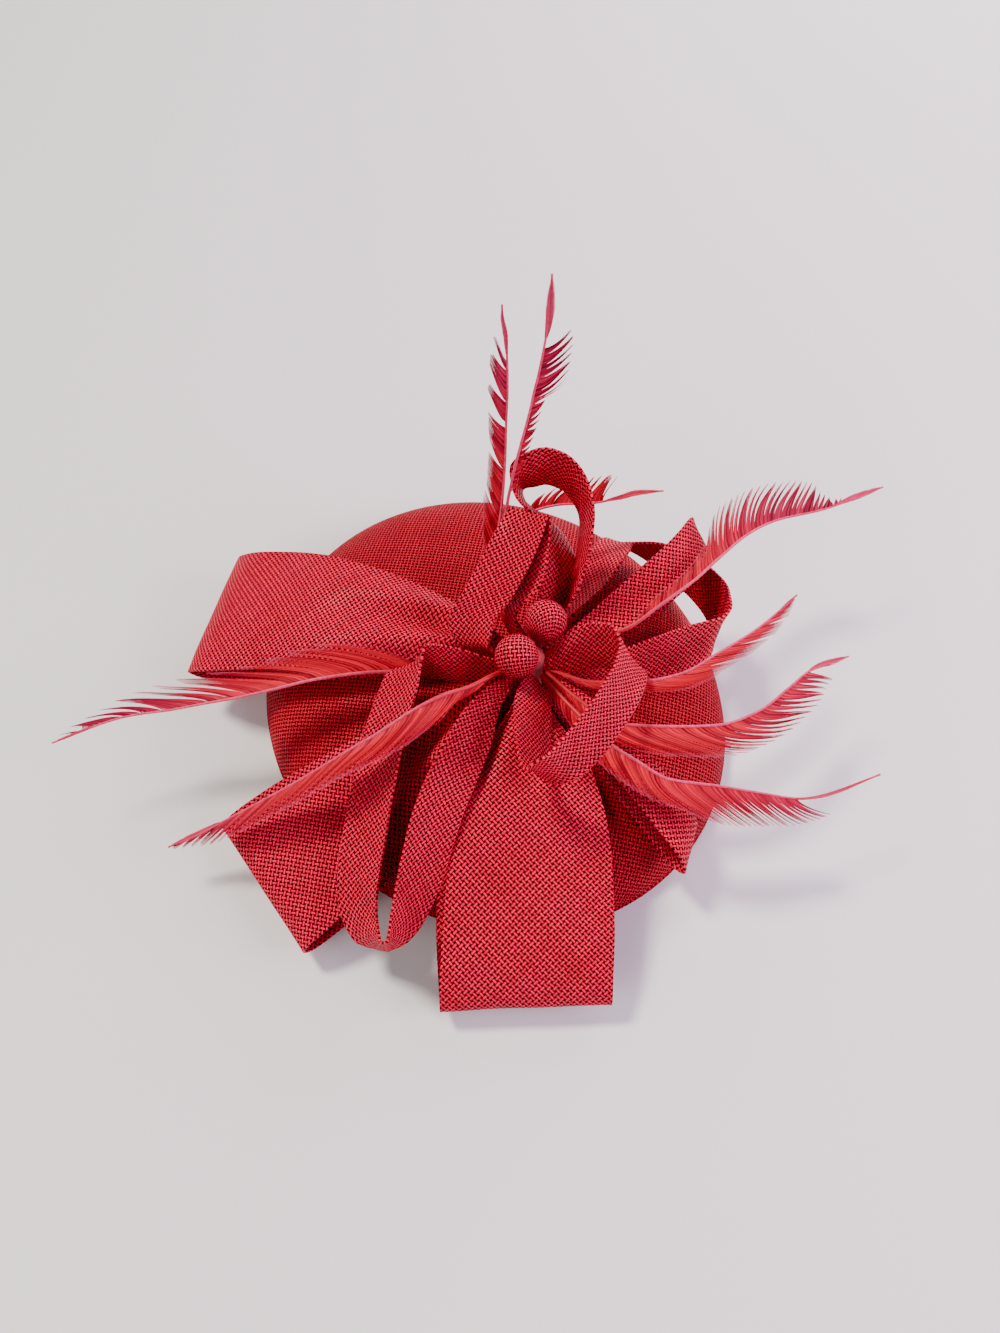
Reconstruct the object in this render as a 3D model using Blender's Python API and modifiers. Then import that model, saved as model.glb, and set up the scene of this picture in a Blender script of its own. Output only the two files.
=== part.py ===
"""Red woven fascinator: an oval domed base with ribbon loops, feathers and two
covered balls gathered at one point on its crown. Metres, +Z up. The origin is
the middle of the base's rim, on the surface that the rim rests on, and -Y is
the front, where the widest loop hangs over the rim."""

import math

import bmesh
import bpy
import numpy as np
from mathutils import Vector

MM = 0.001

# Base: an oval dome of stiffened cloth, open underneath
BASE_LENGTH = 170 * MM
BASE_WIDTH = 152 * MM
BASE_TURN = math.radians(-55)
CROWN_HEIGHT = 27 * MM
SHELL_WALL = 2 * MM
RIM_LIP = 4 * MM
RIM_DEPTH = 1.6 * MM
MERGE_DISTANCE = 0.05 * MM
CROWN_BREADTH_POWER = 2.6
CROWN_HEIGHT_POWER = 2.2
SHOULDER = 0.8
SLOPE_STEP = 0.01

# Ribbons and their seat on the crown
RIBBON_THICKNESS = 1.0 * MM
SEAT_GAP = 0.35 * MM
FLOOR_GAP = 1.2 * MM
FLOOR_SOFTNESS = 4 * MM
WIDE_RIBBON = 50 * MM
FOLDED_RIBBON = 25 * MM
NARROW_RIBBON = 16 * MM

# Gathering point, and the thread-wound binding that holds everything there
HUB_X = 12 * MM
HUB_Y = -8 * MM
BINDING_RADIUS = 4.4 * MM
BINDING_HEIGHT = 14.5 * MM

# Covered balls on short wires
BALL_DIAMETER = 13.5 * MM
WIRE_RADIUS = 0.9 * MM
WIRE_SPREAD = 0.4

# Feathers
FEATHER_THICKNESS = 0.8 * MM
QUILL_WIDTH = 1.6 * MM

# Hair clip under the crown
CLIP_LENGTH = 46 * MM
CLIP_WIDTH = 9 * MM
CLIP_BLADE = 1.2 * MM
CLIP_MOUTH = 3 * MM

# Every loop starts and ends at the binding. A row is one section of the ribbon.
# right, back: place from the binding, as shares of reach. up: height over the
# crown or, past the rim, over a slope that runs on from it, as a share of rise.
# width: share of the ribbon. turn, tilt: where the ribbon's width points, in
# degrees round +Z from +X and above level. pleat: depth of its gathers, as a
# share of the ribbon's width.
LOOP_COLUMNS = ("right", "back", "up", "width", "turn", "tilt", "pleat")
LOOPS = {
    "wide_loop_left": {
        "reach": 100 * MM, "rise": 10 * MM, "ribbon": WIDE_RIBBON, "across": 8, "draped": True,
        "rows": [
            (-0.053, 0.022, 0.80, 0.10, 70, 0, 0.03),
            (-0.16, 0.10, 0.98, 0.28, 70, 0, 0.04),
            (-0.38, 0.155, 1.15, 0.57, 74, 0, 0.03),
            (-0.62, 0.205, 1.32, 0.80, 74, 0, 0.01),
            (-0.84, 0.26, 1.52, 0.92, 74, 0, 0.0),
            (-1.02, 0.29, 1.68, 0.95, 76, 0, 0.0),
            (-1.085, 0.32, 1.25, 0.95, 76, 0, 0.0),
            (-1.02, 0.31, 0.75, 0.95, 76, 0, 0.0),
            (-0.82, 0.27, 0.30, 0.92, 76, 0, 0.0),
            (-0.55, 0.20, 0.085, 0.74, 76, 0, 0.0),
            (-0.28, 0.12, 0.085, 0.42, 74, 0, 0.0),
            (-0.053, 0.022, 0.085, 0.10, 70, 0, 0.0),
        ],
    },
    "wide_loop_left_front": {
        "reach": 100 * MM, "rise": 10 * MM, "ribbon": WIDE_RIBBON, "across": 8, "draped": True,
        "rows": [
            (-0.046, -0.032, 0.80, 0.10, 127, 0, 0.03),
            (-0.20, -0.15, 0.90, 0.28, 126, 0, 0.04),
            (-0.455, -0.385, 0.95, 0.74, 125, 0, 0.02),
            (-0.68, -0.535, 1.00, 0.92, 124, 0, 0.0),
            (-0.79, -0.605, 0.92, 0.97, 126, 0, 0.0),
            (-0.825, -0.63, 0.58, 0.97, 127, 0, 0.0),
            (-0.79, -0.605, 0.20, 0.97, 126, 0, 0.0),
            (-0.55, -0.445, 0.085, 0.84, 125, 0, 0.0),
            (-0.28, -0.215, 0.085, 0.42, 126, 0, 0.0),
            (-0.046, -0.032, 0.085, 0.10, 127, 0, 0.0),
        ],
    },
    "wide_loop_front": {
        "reach": 100 * MM, "rise": 10 * MM, "ribbon": WIDE_RIBBON, "across": 8, "draped": True,
        "rows": [
            (0.0, -0.055, 0.80, 0.10, 180, 0, 0.03),
            (0.0, -0.165, 0.90, 0.30, 178, 0, 0.04),
            (0.01, -0.335, 0.98, 0.68, 176, 0, 0.02),
            (-0.005, -0.60, 1.06, 0.95, 178, 0, 0.0),
            (-0.015, -0.84, 1.06, 1.00, 181, 0, 0.0),
            (-0.02, -0.945, 0.86, 1.00, 182, 0, 0.0),
            (-0.02, -0.98, 0.48, 1.00, 182, 0, 0.0),
            (-0.025, -0.93, 0.12, 1.00, 182, 0, 0.0),
            (-0.04, -0.70, 0.085, 0.98, 180, 0, 0.0),
            (-0.015, -0.35, 0.085, 0.66, 178, 0, 0.0),
            (0.0, -0.16, 0.085, 0.28, 180, 0, 0.0),
            (0.0, -0.055, 0.085, 0.10, 180, 0, 0.0),
        ],
    },
    "folded_loop_right_front": {
        "reach": 75 * MM, "rise": 10 * MM, "ribbon": FOLDED_RIBBON, "across": 4, "draped": True,
        "rows": [
            (0.062, -0.042, 0.80, 0.16, 226, 0, 0.0),
            (0.175, -0.165, 0.96, 0.34, 226, 0, 0.0),
            (0.32, -0.345, 1.06, 0.50, 227, 4, 0.0),
            (0.49, -0.525, 1.00, 0.58, 236, 6, 0.0),
            (0.61, -0.655, 0.95, 0.66, 250, 10, 0.0),
            (0.645, -0.71, 0.55, 0.66, 252, 8, 0.0),
            (0.60, -0.66, 0.12, 0.62, 245, 0, 0.0),
            (0.40, -0.43, 0.085, 0.56, 230, 0, 0.0),
            (0.20, -0.20, 0.085, 0.36, 226, 0, 0.0),
            (0.062, -0.042, 0.085, 0.16, 226, 0, 0.0),
        ],
    },
    "folded_loop_right_back": {
        "reach": 80 * MM, "rise": 10 * MM, "ribbon": FOLDED_RIBBON, "across": 4, "draped": False,
        "rows": [
            (0.056, 0.040, 0.85, 0.16, -54, 0, 0.0),
            (0.26, 0.14, 1.40, 0.42, -52, -8, 0.0),
            (0.46, 0.29, 2.05, 0.55, -50, -15, 0.0),
            (0.58, 0.385, 2.65, 0.60, -50, -20, 0.0),
            (0.66, 0.48, 3.00, 0.60, -54, -20, 0.0),
            (0.71, 0.57, 3.10, 0.58, -62, -20, 0.0),
            (0.725, 0.59, 2.85, 0.56, -62, -18, 0.0),
            (0.67, 0.51, 2.70, 0.56, -58, -18, 0.0),
            (0.58, 0.40, 2.35, 0.58, -50, -18, 0.0),
            (0.44, 0.30, 1.15, 0.52, -50, -12, 0.0),
            (0.24, 0.165, 0.22, 0.36, -54, -4, 0.0),
            (0.056, 0.040, 0.085, 0.16, -54, 0, 0.0),
        ],
    },
    "standing_loop_right": {
        "reach": 65 * MM, "rise": 10 * MM, "ribbon": NARROW_RIBBON, "across": 2, "draped": False,
        "rows": [
            (0.088, -0.02, 0.40, 0.25, 100, 60, 0.0),
            (0.33, -0.01, 0.70, 0.70, 97, 65, 0.0),
            (0.57, 0.065, 0.98, 0.95, 99, 67, 0.0),
            (0.80, 0.14, 1.45, 1.0, 92, 60, 0.0),
            (0.92, 0.20, 1.70, 1.0, 70, 63, 0.0),
            (0.97, 0.30, 1.75, 1.0, 54, 66, 0.0),
            (0.975, 0.44, 1.55, 1.0, 37, 70, 0.0),
            (0.92, 0.58, 1.35, 1.0, 15, 70, 0.0),
            (0.77, 0.72, 1.30, 1.0, -20, 66, 0.0),
            (0.62, 0.78, 1.30, 1.0, -45, 56, 0.0),
            (0.49, 0.79, 1.35, 1.0, -48, 38, 0.0),
            (0.43, 0.70, 1.35, 1.0, -36, 32, 0.0),
            (0.32, 0.49, 1.00, 0.80, -40, 35, 0.0),
            (0.16, 0.28, 0.60, 0.40, -40, 50, 0.0),
            (0.020, 0.088, 0.40, 0.20, -40, 60, 0.0),
        ],
    },
    "curled_loop_right": {
        "reach": 45 * MM, "rise": 30 * MM, "ribbon": NARROW_RIBBON, "across": 2, "draped": False,
        "rows": [
            (0.125, -0.03, 0.43, 0.25, -84, -55, 0.0),
            (0.25, -0.005, 0.56, 0.75, -82, -59, 0.0),
            (0.397, 0.022, 0.66, 1.0, -78, -60, 0.0),
            (0.548, 0.005, 0.72, 1.0, -65, -58, 0.0),
            (0.662, -0.097, 0.831, 1.0, -23, -55, 0.0),
            (0.624, -0.297, 0.952, 1.0, -11, -52, 0.0),
            (0.474, -0.583, 1.026, 1.0, -21, -54, 0.0),
            (0.269, -0.846, 1.035, 1.0, -22, -57, 0.0),
            (0.11, -0.954, 0.984, 1.0, -6, -65, 0.0),
            (0.019, -0.947, 0.859, 1.0, 22, -65, 0.0),
            (0.006, -0.788, 0.72, 1.0, 9, -54, 0.0),
            (0.008, -0.537, 0.62, 1.0, 13, -46, 0.0),
            (0.007, -0.28, 0.51, 0.72, 13, -32, 0.0),
            (0.0, -0.125, 0.43, 0.25, 10, -50, 0.0),
        ],
    },
    "long_loop_front": {
        "reach": 85 * MM, "rise": 20 * MM, "ribbon": NARROW_RIBBON, "across": 2, "draped": False,
        "rows": [
            (-0.060, -0.022, 0.61, 0.25, 80, 60, 0.0),
            (-0.16, -0.05, 0.75, 0.50, 88, 70, 0.0),
            (-0.28, -0.055, 0.87, 0.90, 90, 74, 0.0),
            (-0.385, -0.045, 0.97, 1.0, 20, 80, 0.0),
            (-0.44, -0.06, 0.95, 1.0, -18, 50, 0.0),
            (-0.47, -0.145, 0.90, 1.0, -20, 36, 0.0),
            (-0.52, -0.34, 0.87, 1.0, -24, 28, 0.0),
            (-0.575, -0.645, 0.86, 1.0, -20, 27, 0.0),
            (-0.595, -0.833, 0.825, 1.0, -13, 36, 0.0),
            (-0.555, -0.959, 0.826, 1.0, -11, 59, 0.0),
            (-0.497, -0.984, 0.804, 1.0, -61, 84, 0.0),
            (-0.461, -0.962, 0.801, 1.0, -155, 75, 0.0),
            (-0.426, -0.902, 0.825, 1.0, -161, 57, 0.0),
            (-0.385, -0.791, 0.87, 1.0, -167, 42, 0.0),
            (-0.325, -0.59, 0.86, 1.0, -172, 30, 0.0),
            (-0.225, -0.355, 0.84, 0.90, -190, 36, 0.0),
            (-0.142, -0.17, 0.80, 0.50, -193, 38, 0.0),
            (-0.040, -0.056, 0.60, 0.22, -190, 50, 0.0),
        ],
    },
    "upright_loop_left": {
        "reach": 45 * MM, "rise": 40 * MM, "ribbon": NARROW_RIBBON, "across": 2, "draped": False,
        "rows": [
            (-0.115, 0.045, 0.31, 0.25, -35, 60, 0.0),
            (-0.26, 0.03, 0.345, 0.45, -32, 50, 0.0),
            (-0.39, 0.08, 0.41, 0.80, -27, 37, 0.0),
            (-0.405, 0.225, 0.49, 1.0, -15, 20, 0.0),
            (-0.30, 0.345, 0.63, 1.0, -16, 11, 0.0),
            (-0.185, 0.51, 0.78, 1.0, -20, 12, 0.0),
            (-0.08, 0.69, 0.915, 1.0, -28, 18, 0.0),
            (-0.01, 0.835, 1.00, 1.0, -38, 27, 0.0),
            (0.0, 0.80, 0.93, 1.0, -40, 27, 0.0),
            (-0.03, 0.60, 0.77, 1.0, -37, 28, 0.0),
            (-0.06, 0.44, 0.64, 0.95, -32, 35, 0.0),
            (-0.14, 0.26, 0.45, 0.40, -38, 55, 0.0),
            (-0.046, 0.115, 0.31, 0.25, -34, 60, 0.0),
        ],
    },
    "tall_loop_back": {
        "reach": 50 * MM, "rise": 50 * MM, "ribbon": NARROW_RIBBON, "across": 2, "draped": False,
        "rows": [
            (0.02, 0.108, 0.235, 0.2, -20, -50, 0.0),
            (0.083, 0.278, 0.25, 0.36, -16, -25, 0.0),
            (0.152, 0.379, 0.327, 0.65, 5, -31, 0.0),
            (0.201, 0.554, 0.478, 0.95, 17, -38, 0.0),
            (0.146, 0.79, 0.575, 0.9, 28, -50, 0.0),
            (-0.06, 0.96, 0.71, 1.0, 60, -62, 0.0),
            (-0.078, 1.008, 0.83, 1.0, 38, -71, 0.0),
            (0.0, 1.02, 0.895, 1.0, 0, -82, 0.0),
            (0.11, 1.03, 0.925, 1.0, -100, -88, 0.0),
            (0.247, 0.97, 0.89, 1.0, -215, -83, 0.0),
            (0.342, 0.80, 0.755, 1.0, -247, -63, 0.0),
            (0.324, 0.628, 0.575, 1.0, -252, -57, 0.0),
            (0.265, 0.434, 0.397, 0.8, -252, -58, 0.0),
            (0.155, 0.25, 0.25, 0.26, -250, -58, 0.0),
            (0.09, 0.072, 0.235, 0.20, -250, -65, 0.0),
        ],
    },
}

# A row is one section of a feather. right, back: place from the binding, as
# shares of reach. up: height over the crown or its slope, as a share of rise.
# vane, underside: how far the vane stands out on its two sides of the quill,
# as shares of vane_width. turn, tilt: where the vane points, as in LOOPS.
FEATHER_COLUMNS = ("right", "back", "up", "vane", "underside", "turn", "tilt")
FEATHERS = {
    "feather_tall_left": {
        "reach": 75 * MM, "rise": 100 * MM, "vane_width": 8 * MM,
        "rows": [
            (-0.032, 0.068, 0.083, 0.0, 0.0, 180, 0),
            (-0.13, 0.26, 0.14, 0.0, 0.0, 180, 0),
            (-0.15, 0.38, 0.22, 0.3, 0.0, 180, 0),
            (-0.123, 0.559, 0.347, 0.7, 0.0, 180, 0),
            (-0.107, 0.662, 0.5, 0.62, 0.0, 180, 0),
            (-0.102, 0.741, 0.64, 0.64, 0.0, 180, 0),
            (-0.098, 0.778, 0.718, 0.7, 0.0, 180, 0),
            (-0.098, 0.789, 0.755, 0.2, 0.0, 180, 0),
            (-0.101, 0.831, 0.84, 0.55, 0.0, 180, 0),
            (-0.105, 0.861, 0.89, 0.06, 0.0, 180, 0),
            (-0.118, 0.896, 0.94, 0.06, 0.0, 180, 0),
            (-0.12, 0.91, 0.975, 0.0, 0.0, 180, 0),
        ],
    },
    "feather_tall_right": {
        "reach": 75 * MM, "rise": 105 * MM, "vane_width": 11 * MM,
        "rows": [
            (0.02, 0.072, 0.08, 0.0, 0.0, 0, 0),
            (-0.09, 0.27, 0.145, 0.0, 0.0, 0, 0),
            (-0.1, 0.45, 0.23, 0.0, 0.0, 0, 0),
            (-0.098, 0.56, 0.34, 0.0, 0.0, 0, 0),
            (-0.079, 0.588, 0.444, 0.1, 0.0, 0, 0),
            (-0.06, 0.617, 0.517, 0.2, 0.0, 0, 0),
            (-0.012, 0.709, 0.65, 0.27, 0.0, 0, 0),
            (0.006, 0.755, 0.71, 0.32, 0.0, 0, 0),
            (0.018, 0.776, 0.747, 0.73, 0.0, 0, 0),
            (0.041, 0.828, 0.843, 0.71, 0.0, 0, 0),
            (0.05, 0.851, 0.89, 0.6, 0.0, 0, 0),
            (0.053, 0.863, 0.92, 0.15, 0.0, 0, 0),
            (0.057, 0.894, 0.99, 0.15, 0.0, 0, 0),
            (0.06, 0.924, 1.035, 0.0, 0.0, 0, 0),
        ],
    },
    "feather_back": {
        "reach": 75 * MM, "rise": 30 * MM, "vane_width": 10 * MM,
        "rows": [
            (-0.002, 0.075, 0.16, 0.0, 0.0, 90, 30),
            (-0.1, 0.33, 0.37, 0.0, 0.0, 120, 30),
            (-0.075, 0.58, 0.62, 0.0, 0.0, 110, 40),
            (0.0, 0.685, 0.78, 0.2, 0.0, 100, 40),
            (0.12, 0.703, 0.9, 0.5, 0.0, 90, 40),
            (0.277, 0.693, 1.02, 0.8, 0.0, 85, 40),
            (0.4, 0.705, 1.17, 0.75, 0.0, 90, 40),
            (0.452, 0.716, 1.25, 0.1, 0.0, 90, 40),
            (0.578, 0.713, 1.41, 0.0, 0.0, 90, 40),
        ],
    },
    "feather_right_back": {
        "reach": 140 * MM, "rise": 25 * MM, "vane_width": 13 * MM,
        "rows": [
            (0.036, 0.017, 0.45, 0.0, 0.0, 120, 20),
            (0.11, 0.045, 0.60, 0.0, 0.0, 120, 20),
            (0.20, 0.055, 0.78, 0.0, 0.0, 125, 20),
            (0.29, 0.11, 1.02, 0.2, 0.0, 125, 20),
            (0.37, 0.175, 1.22, 0.3, 0.0, 130, 20),
            (0.435, 0.245, 1.35, 0.5, 0.0, 130, 20),
            (0.515, 0.325, 1.52, 1.0, 0.0, 120, 20),
            (0.59, 0.373, 1.60, 1.0, 0.0, 105, 20),
            (0.70, 0.405, 1.62, 0.8, 0.0, 100, 20),
            (0.74, 0.42, 1.62, 0.15, 0.0, 110, 20),
            (0.875, 0.49, 1.55, 0.0, 0.0, 110, 20),
        ],
    },
    "feather_right_upper": {
        "reach": 90 * MM, "rise": 20 * MM, "vane_width": 6 * MM,
        "rows": [
            (0.060, -0.022, 0.52, 0.0, 0.0, -90, 0),
            (0.22, -0.080, 0.62, 0.1, 0.0, -90, 0),
            (0.398, -0.087, 0.844, 0.6, 0.0, -80, 0),
            (0.507, -0.068, 1.035, 0.9, 0.0, -70, 0),
            (0.635, 0.009, 1.249, 0.95, 0.0, -62, 0),
            (0.80, 0.124, 1.53, 0.8, 0.0, -55, 0),
            (0.967, 0.282, 1.731, 0.0, 0.0, -50, 0),
        ],
    },
    "feather_right_middle": {
        "reach": 110 * MM, "rise": 20 * MM, "vane_width": 10 * MM,
        "rows": [
            (0.043, -0.031, 0.54, 0.0, 0.0, -90, 0),
            (0.14, -0.13, 0.64, 0.0, 0.0, -90, 0),
            (0.23, -0.20, 0.76, 0.15, 0.0, -90, -10),
            (0.36, -0.212, 0.95, 0.9, 0.0, -90, -10),
            (0.51, -0.196, 1.10, 1.0, 0.0, -90, -10),
            (0.64, -0.14, 1.25, 1.0, 0.0, -80, -10),
            (0.73, -0.065, 1.35, 1.0, 0.0, -65, -10),
            (0.82, 0.01, 1.45, 0.7, 0.0, -60, -10),
            (0.93, 0.053, 1.50, 0.0, 0.0, -60, -10),
        ],
    },
    "feather_right_lower": {
        "reach": 110 * MM, "rise": 20 * MM, "vane_width": 11 * MM,
        "rows": [
            (0.032, -0.043, 0.56, 0.0, 0.0, -110, 0),
            (0.10, -0.14, 0.68, 0.0, 0.0, -120, 0),
            (0.20, -0.26, 0.86, 0.3, 0.0, -120, -10),
            (0.28, -0.322, 1.00, 0.5, 0.0, -115, -10),
            (0.37, -0.364, 1.06, 0.7, 0.0, -110, -10),
            (0.50, -0.372, 1.18, 1.0, 0.0, -100, -10),
            (0.62, -0.38, 1.25, 0.9, 0.0, -90, -10),
            (0.72, -0.386, 1.30, 0.7, 0.0, -80, -10),
            (0.80, -0.37, 1.30, 0.3, 0.0, -75, -10),
            (0.96, -0.312, 1.40, 0.0, 0.0, -70, -10),
        ],
    },
    "feather_left": {
        "reach": 150 * MM, "rise": 20 * MM, "vane_width": 12 * MM,
        "rows": [
            (-0.036, 0.0, 0.52, 0.0, 0.0, 95, 0),
            (-0.10, -0.012, 0.48, 0.0, 0.0, 95, 0),
            (-0.20, -0.018, 0.46, 0.0, 0.0, 95, 25),
            (-0.30, -0.022, 0.62, 0.7, 0.0, 95, 25),
            (-0.435, -0.043, 0.90, 0.9, 0.0, 95, 20),
            (-0.59, -0.066, 1.15, 0.8, 0.0, 95, 10),
            (-0.735, -0.084, 1.38, 0.8, 0.0, 95, 10),
            (-0.85, -0.102, 1.42, 0.5, 0.0, 95, 10),
            (-0.99, -0.153, 1.32, 0.0, 0.0, 100, 10),
        ],
    },
    "feather_left_front": {
        "reach": 120 * MM, "rise": 25 * MM, "vane_width": 9 * MM,
        "rows": [
            (-0.037, -0.026, 0.455, 0.0, 0.0, -110, 0),
            (-0.086, -0.064, 0.71, 0.0, 0.0, -110, 0),
            (-0.155, -0.118, 0.86, 0.2, 0.0, -115, -10),
            (-0.225, -0.163, 1.05, 0.5, 0.0, -120, -10),
            (-0.275, -0.192, 1.08, 0.8, 0.0, -120, -10),
            (-0.395, -0.26, 1.05, 1.0, 0.0, -120, -10),
            (-0.57, -0.318, 0.86, 0.9, 0.0, -115, -10),
            (-0.78, -0.375, 0.62, 0.7, 0.0, -110, -10),
            (-0.93, -0.432, 0.50, 0.0, 0.0, -110, -10),
        ],
    },
}

# Centre of each covered ball from the middle of the binding's top, as shares
# of the ball's diameter
BALLS = {
    "ball_front": {"right": -0.34, "back": -0.344, "above": 0.614},
    "ball_back": {"right": 0.335, "back": 0.652, "above": 0.489},
}

# Steps in the curves, and how closely a curve keeps to its slowest neighbour
STEPS_PER_ROW = 3
FEATHER_STEPS = 2
STIFFNESS = 1.6
BASE_SIDES = 48
PROFILE_STEPS = 9
BINDING_SIDES = 16
BALL_SIDES = 16
BALL_RINGS = 10
WIRE_SIDES = 8
BEND_STEPS = 6


def oval_share(x, y):
    """How far out a place is: 0 at the base's middle and 1 at its rim."""
    along = np.cos(BASE_TURN) * x + np.sin(BASE_TURN) * y
    aside = np.cos(BASE_TURN) * y - np.sin(BASE_TURN) * x
    return np.hypot(along / (BASE_LENGTH / 2), aside / (BASE_WIDTH / 2))


def dome(share):
    """Height of the crown's outside at a share of the way out to the rim."""
    inside = np.clip(1 - np.abs(share) ** CROWN_BREADTH_POWER, 0, 1)
    return CROWN_HEIGHT * inside ** (1 / CROWN_HEIGHT_POWER)


def rest_height(x, y):
    """Height of the crown, run on past its shoulder as a straight slope."""
    share = oval_share(x, y)
    slope = (dome(SHOULDER) - dome(SHOULDER - SLOPE_STEP)) / SLOPE_STEP
    sloping = dome(SHOULDER) + slope * (share - SHOULDER)
    over_floor = np.where(share < SHOULDER, dome(share), sloping) - FLOOR_GAP
    return FLOOR_GAP + (over_floor + np.hypot(over_floor, FLOOR_SOFTNESS)) / 2


def smooth(spec, steps):
    """Sections on a smooth curve through every row, some steps to each row."""
    rows = np.array(spec["rows"], float)
    lengths = rows[:, :3] * [spec["reach"], spec["reach"], spec["rise"]]
    apart = np.linalg.norm(np.diff(lengths, axis=0), axis=1)[:, None]
    rates = np.diff(rows, axis=0) / apart
    slopes = np.concatenate([rates[:1], (rows[2:] - rows[:-2]) / (apart[1:] + apart[:-1]), rates[-1:]])
    limit = STIFFNESS * np.minimum(np.abs(rates[1:]), np.abs(rates[:-1]))
    slopes[1:-1] = np.clip(slopes[1:-1], -limit, limit)
    found = [rows[0]]
    for i, span in enumerate(apart):
        for t in np.linspace(0, 1, steps + 1)[1:]:
            found.append(
                (2 * t**3 - 3 * t**2 + 1) * rows[i]
                + (t**3 - 2 * t**2 + t) * span * slopes[i]
                + (3 * t**2 - 2 * t**3) * rows[i + 1]
                + (t**3 - t**2) * span * slopes[i + 1]
            )
    return np.array(found)


def path_of(spec, sections):
    """Centre line of a loop or feather."""
    x = HUB_X + sections[:, 0] * spec["reach"]
    y = HUB_Y + sections[:, 1] * spec["reach"]
    z = rest_height(x, y) + sections[:, 2] * spec["rise"]
    return np.stack([x, y, z], axis=1)


def width_directions(turn, tilt):
    """Unit vectors across a ribbon or a feather's vane."""
    turn, tilt = np.radians(turn), np.radians(tilt)
    return np.stack([np.cos(tilt) * np.cos(turn), np.cos(tilt) * np.sin(turn), np.sin(tilt)], axis=1)


def finish(obj, colour, roughness, metallic=0.0):
    """Material, smooth shading and the collection of the finished piece."""
    material = bpy.data.materials.new(obj.name)
    material.use_nodes = True
    shader = material.node_tree.nodes["Principled BSDF"]
    shader.inputs["Base Color"].default_value = (*colour, 1)
    shader.inputs["Roughness"].default_value = roughness
    shader.inputs["Metallic"].default_value = metallic
    obj.data.materials.append(material)
    if obj.type == "MESH":
        obj.data.shade_smooth()
    return obj


def sheet_from_grid(name, points, thickness):
    """A grid bent to the given rows of points and thickened to a wall."""
    rows, columns = points.shape[:2]
    mesh = bpy.data.meshes.new(name)
    grid = bmesh.new()
    bmesh.ops.create_grid(grid, x_segments=columns - 1, y_segments=rows - 1, size=1)
    ordered = sorted(grid.verts, key=lambda v: (round(v.co.y, 5), round(v.co.x, 5)))
    for vert, place in zip(ordered, points.reshape(-1, 3)):
        vert.co = place
    grid.to_mesh(mesh)
    grid.free()
    obj = bpy.data.objects.new(name, mesh)
    fascinator.objects.link(obj)
    wall = obj.modifiers.new("wall", "SOLIDIFY")
    wall.thickness = thickness
    wall.offset = 0
    return obj


def ribbon_loop(name, spec):
    """A ribbon that leaves the binding, loops and comes back to it."""
    sections = smooth(spec, STEPS_PER_ROW)
    centre = path_of(spec, sections)
    width, turn, tilt, pleat = sections[:, 3:].T
    across = width_directions(turn, tilt)
    face = np.cross(np.gradient(centre, axis=0), across)
    face /= np.linalg.norm(face, axis=1)[:, None]
    start = rest_height(centre[:, 0], centre[:, 1])
    columns = []
    for v in np.linspace(-1, 1, spec["across"] + 1):
        edge = centre + v * (width * spec["ribbon"] / 2)[:, None] * across
        if spec["draped"]:
            edge[:, 2] += rest_height(edge[:, 0], edge[:, 1]) - start
        gather = np.clip(pleat, 0, None) * spec["ribbon"] * math.cos(2 * math.pi * v)
        columns.append(edge + gather[:, None] * face)
    points = np.stack(columns, axis=1)
    obj = sheet_from_grid(name, points, RIBBON_THICKNESS)
    return finish(obj, (0.70, 0.03, 0.05), 0.6)


def feather(name, spec):
    """A quill with its vane, as one thin blade."""
    sections = smooth(spec, FEATHER_STEPS)
    centre = path_of(spec, sections)
    vane, underside, turn, tilt = sections[:, 3:].T
    across = width_directions(turn, tilt)
    quill = QUILL_WIDTH / 2
    outer = quill + np.clip(vane, 0, None) * spec["vane_width"]
    inner = quill + np.clip(underside, 0, None) * spec["vane_width"]
    points = np.stack(
        [centre - inner[:, None] * across, centre, centre + outer[:, None] * across], axis=1
    )
    obj = sheet_from_grid(name, points, FEATHER_THICKNESS)
    return finish(obj, (0.75, 0.05, 0.07), 0.5)


def base_shell():
    """The oval dome, its side wall and the narrow lip turned in at its rim."""
    radius = BASE_LENGTH / 2
    angles = np.linspace(math.pi / 2, 0, PROFILE_STEPS + 1)
    outside = [
        (radius * math.cos(a) ** (2 / CROWN_BREADTH_POWER), dome(math.cos(a) ** (2 / CROWN_BREADTH_POWER)))
        for a in angles
    ]
    scale = (radius - SHELL_WALL) / radius
    top = (CROWN_HEIGHT - SHELL_WALL) / CROWN_HEIGHT
    inside = [(r * scale, z * top) for r, z in outside if z * top > RIM_DEPTH * 2]
    lip = radius - RIM_LIP
    profile = [(0.0, CROWN_HEIGHT)] + outside[1:]
    profile += [(lip, 0.0), (lip, RIM_DEPTH)]
    profile += [(radius * scale, RIM_DEPTH)]
    profile += inside[::-1][:-1] + [(0.0, CROWN_HEIGHT - SHELL_WALL)]
    mesh = bpy.data.meshes.new("base_shell")
    mesh.from_pydata([(r, 0, z) for r, z in profile], [(i, i + 1) for i in range(len(profile) - 1)], [])
    obj = bpy.data.objects.new("base_shell", mesh)
    fascinator.objects.link(obj)
    turned = obj.modifiers.new("turned", "SCREW")
    turned.steps = BASE_SIDES
    turned.render_steps = BASE_SIDES
    turned.use_merge_vertices = True
    turned.merge_threshold = MERGE_DISTANCE
    obj.scale = (1, BASE_WIDTH / BASE_LENGTH, 1)
    obj.rotation_euler = (0, 0, BASE_TURN)
    return finish(obj, (0.55, 0.02, 0.05), 0.65)


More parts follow.
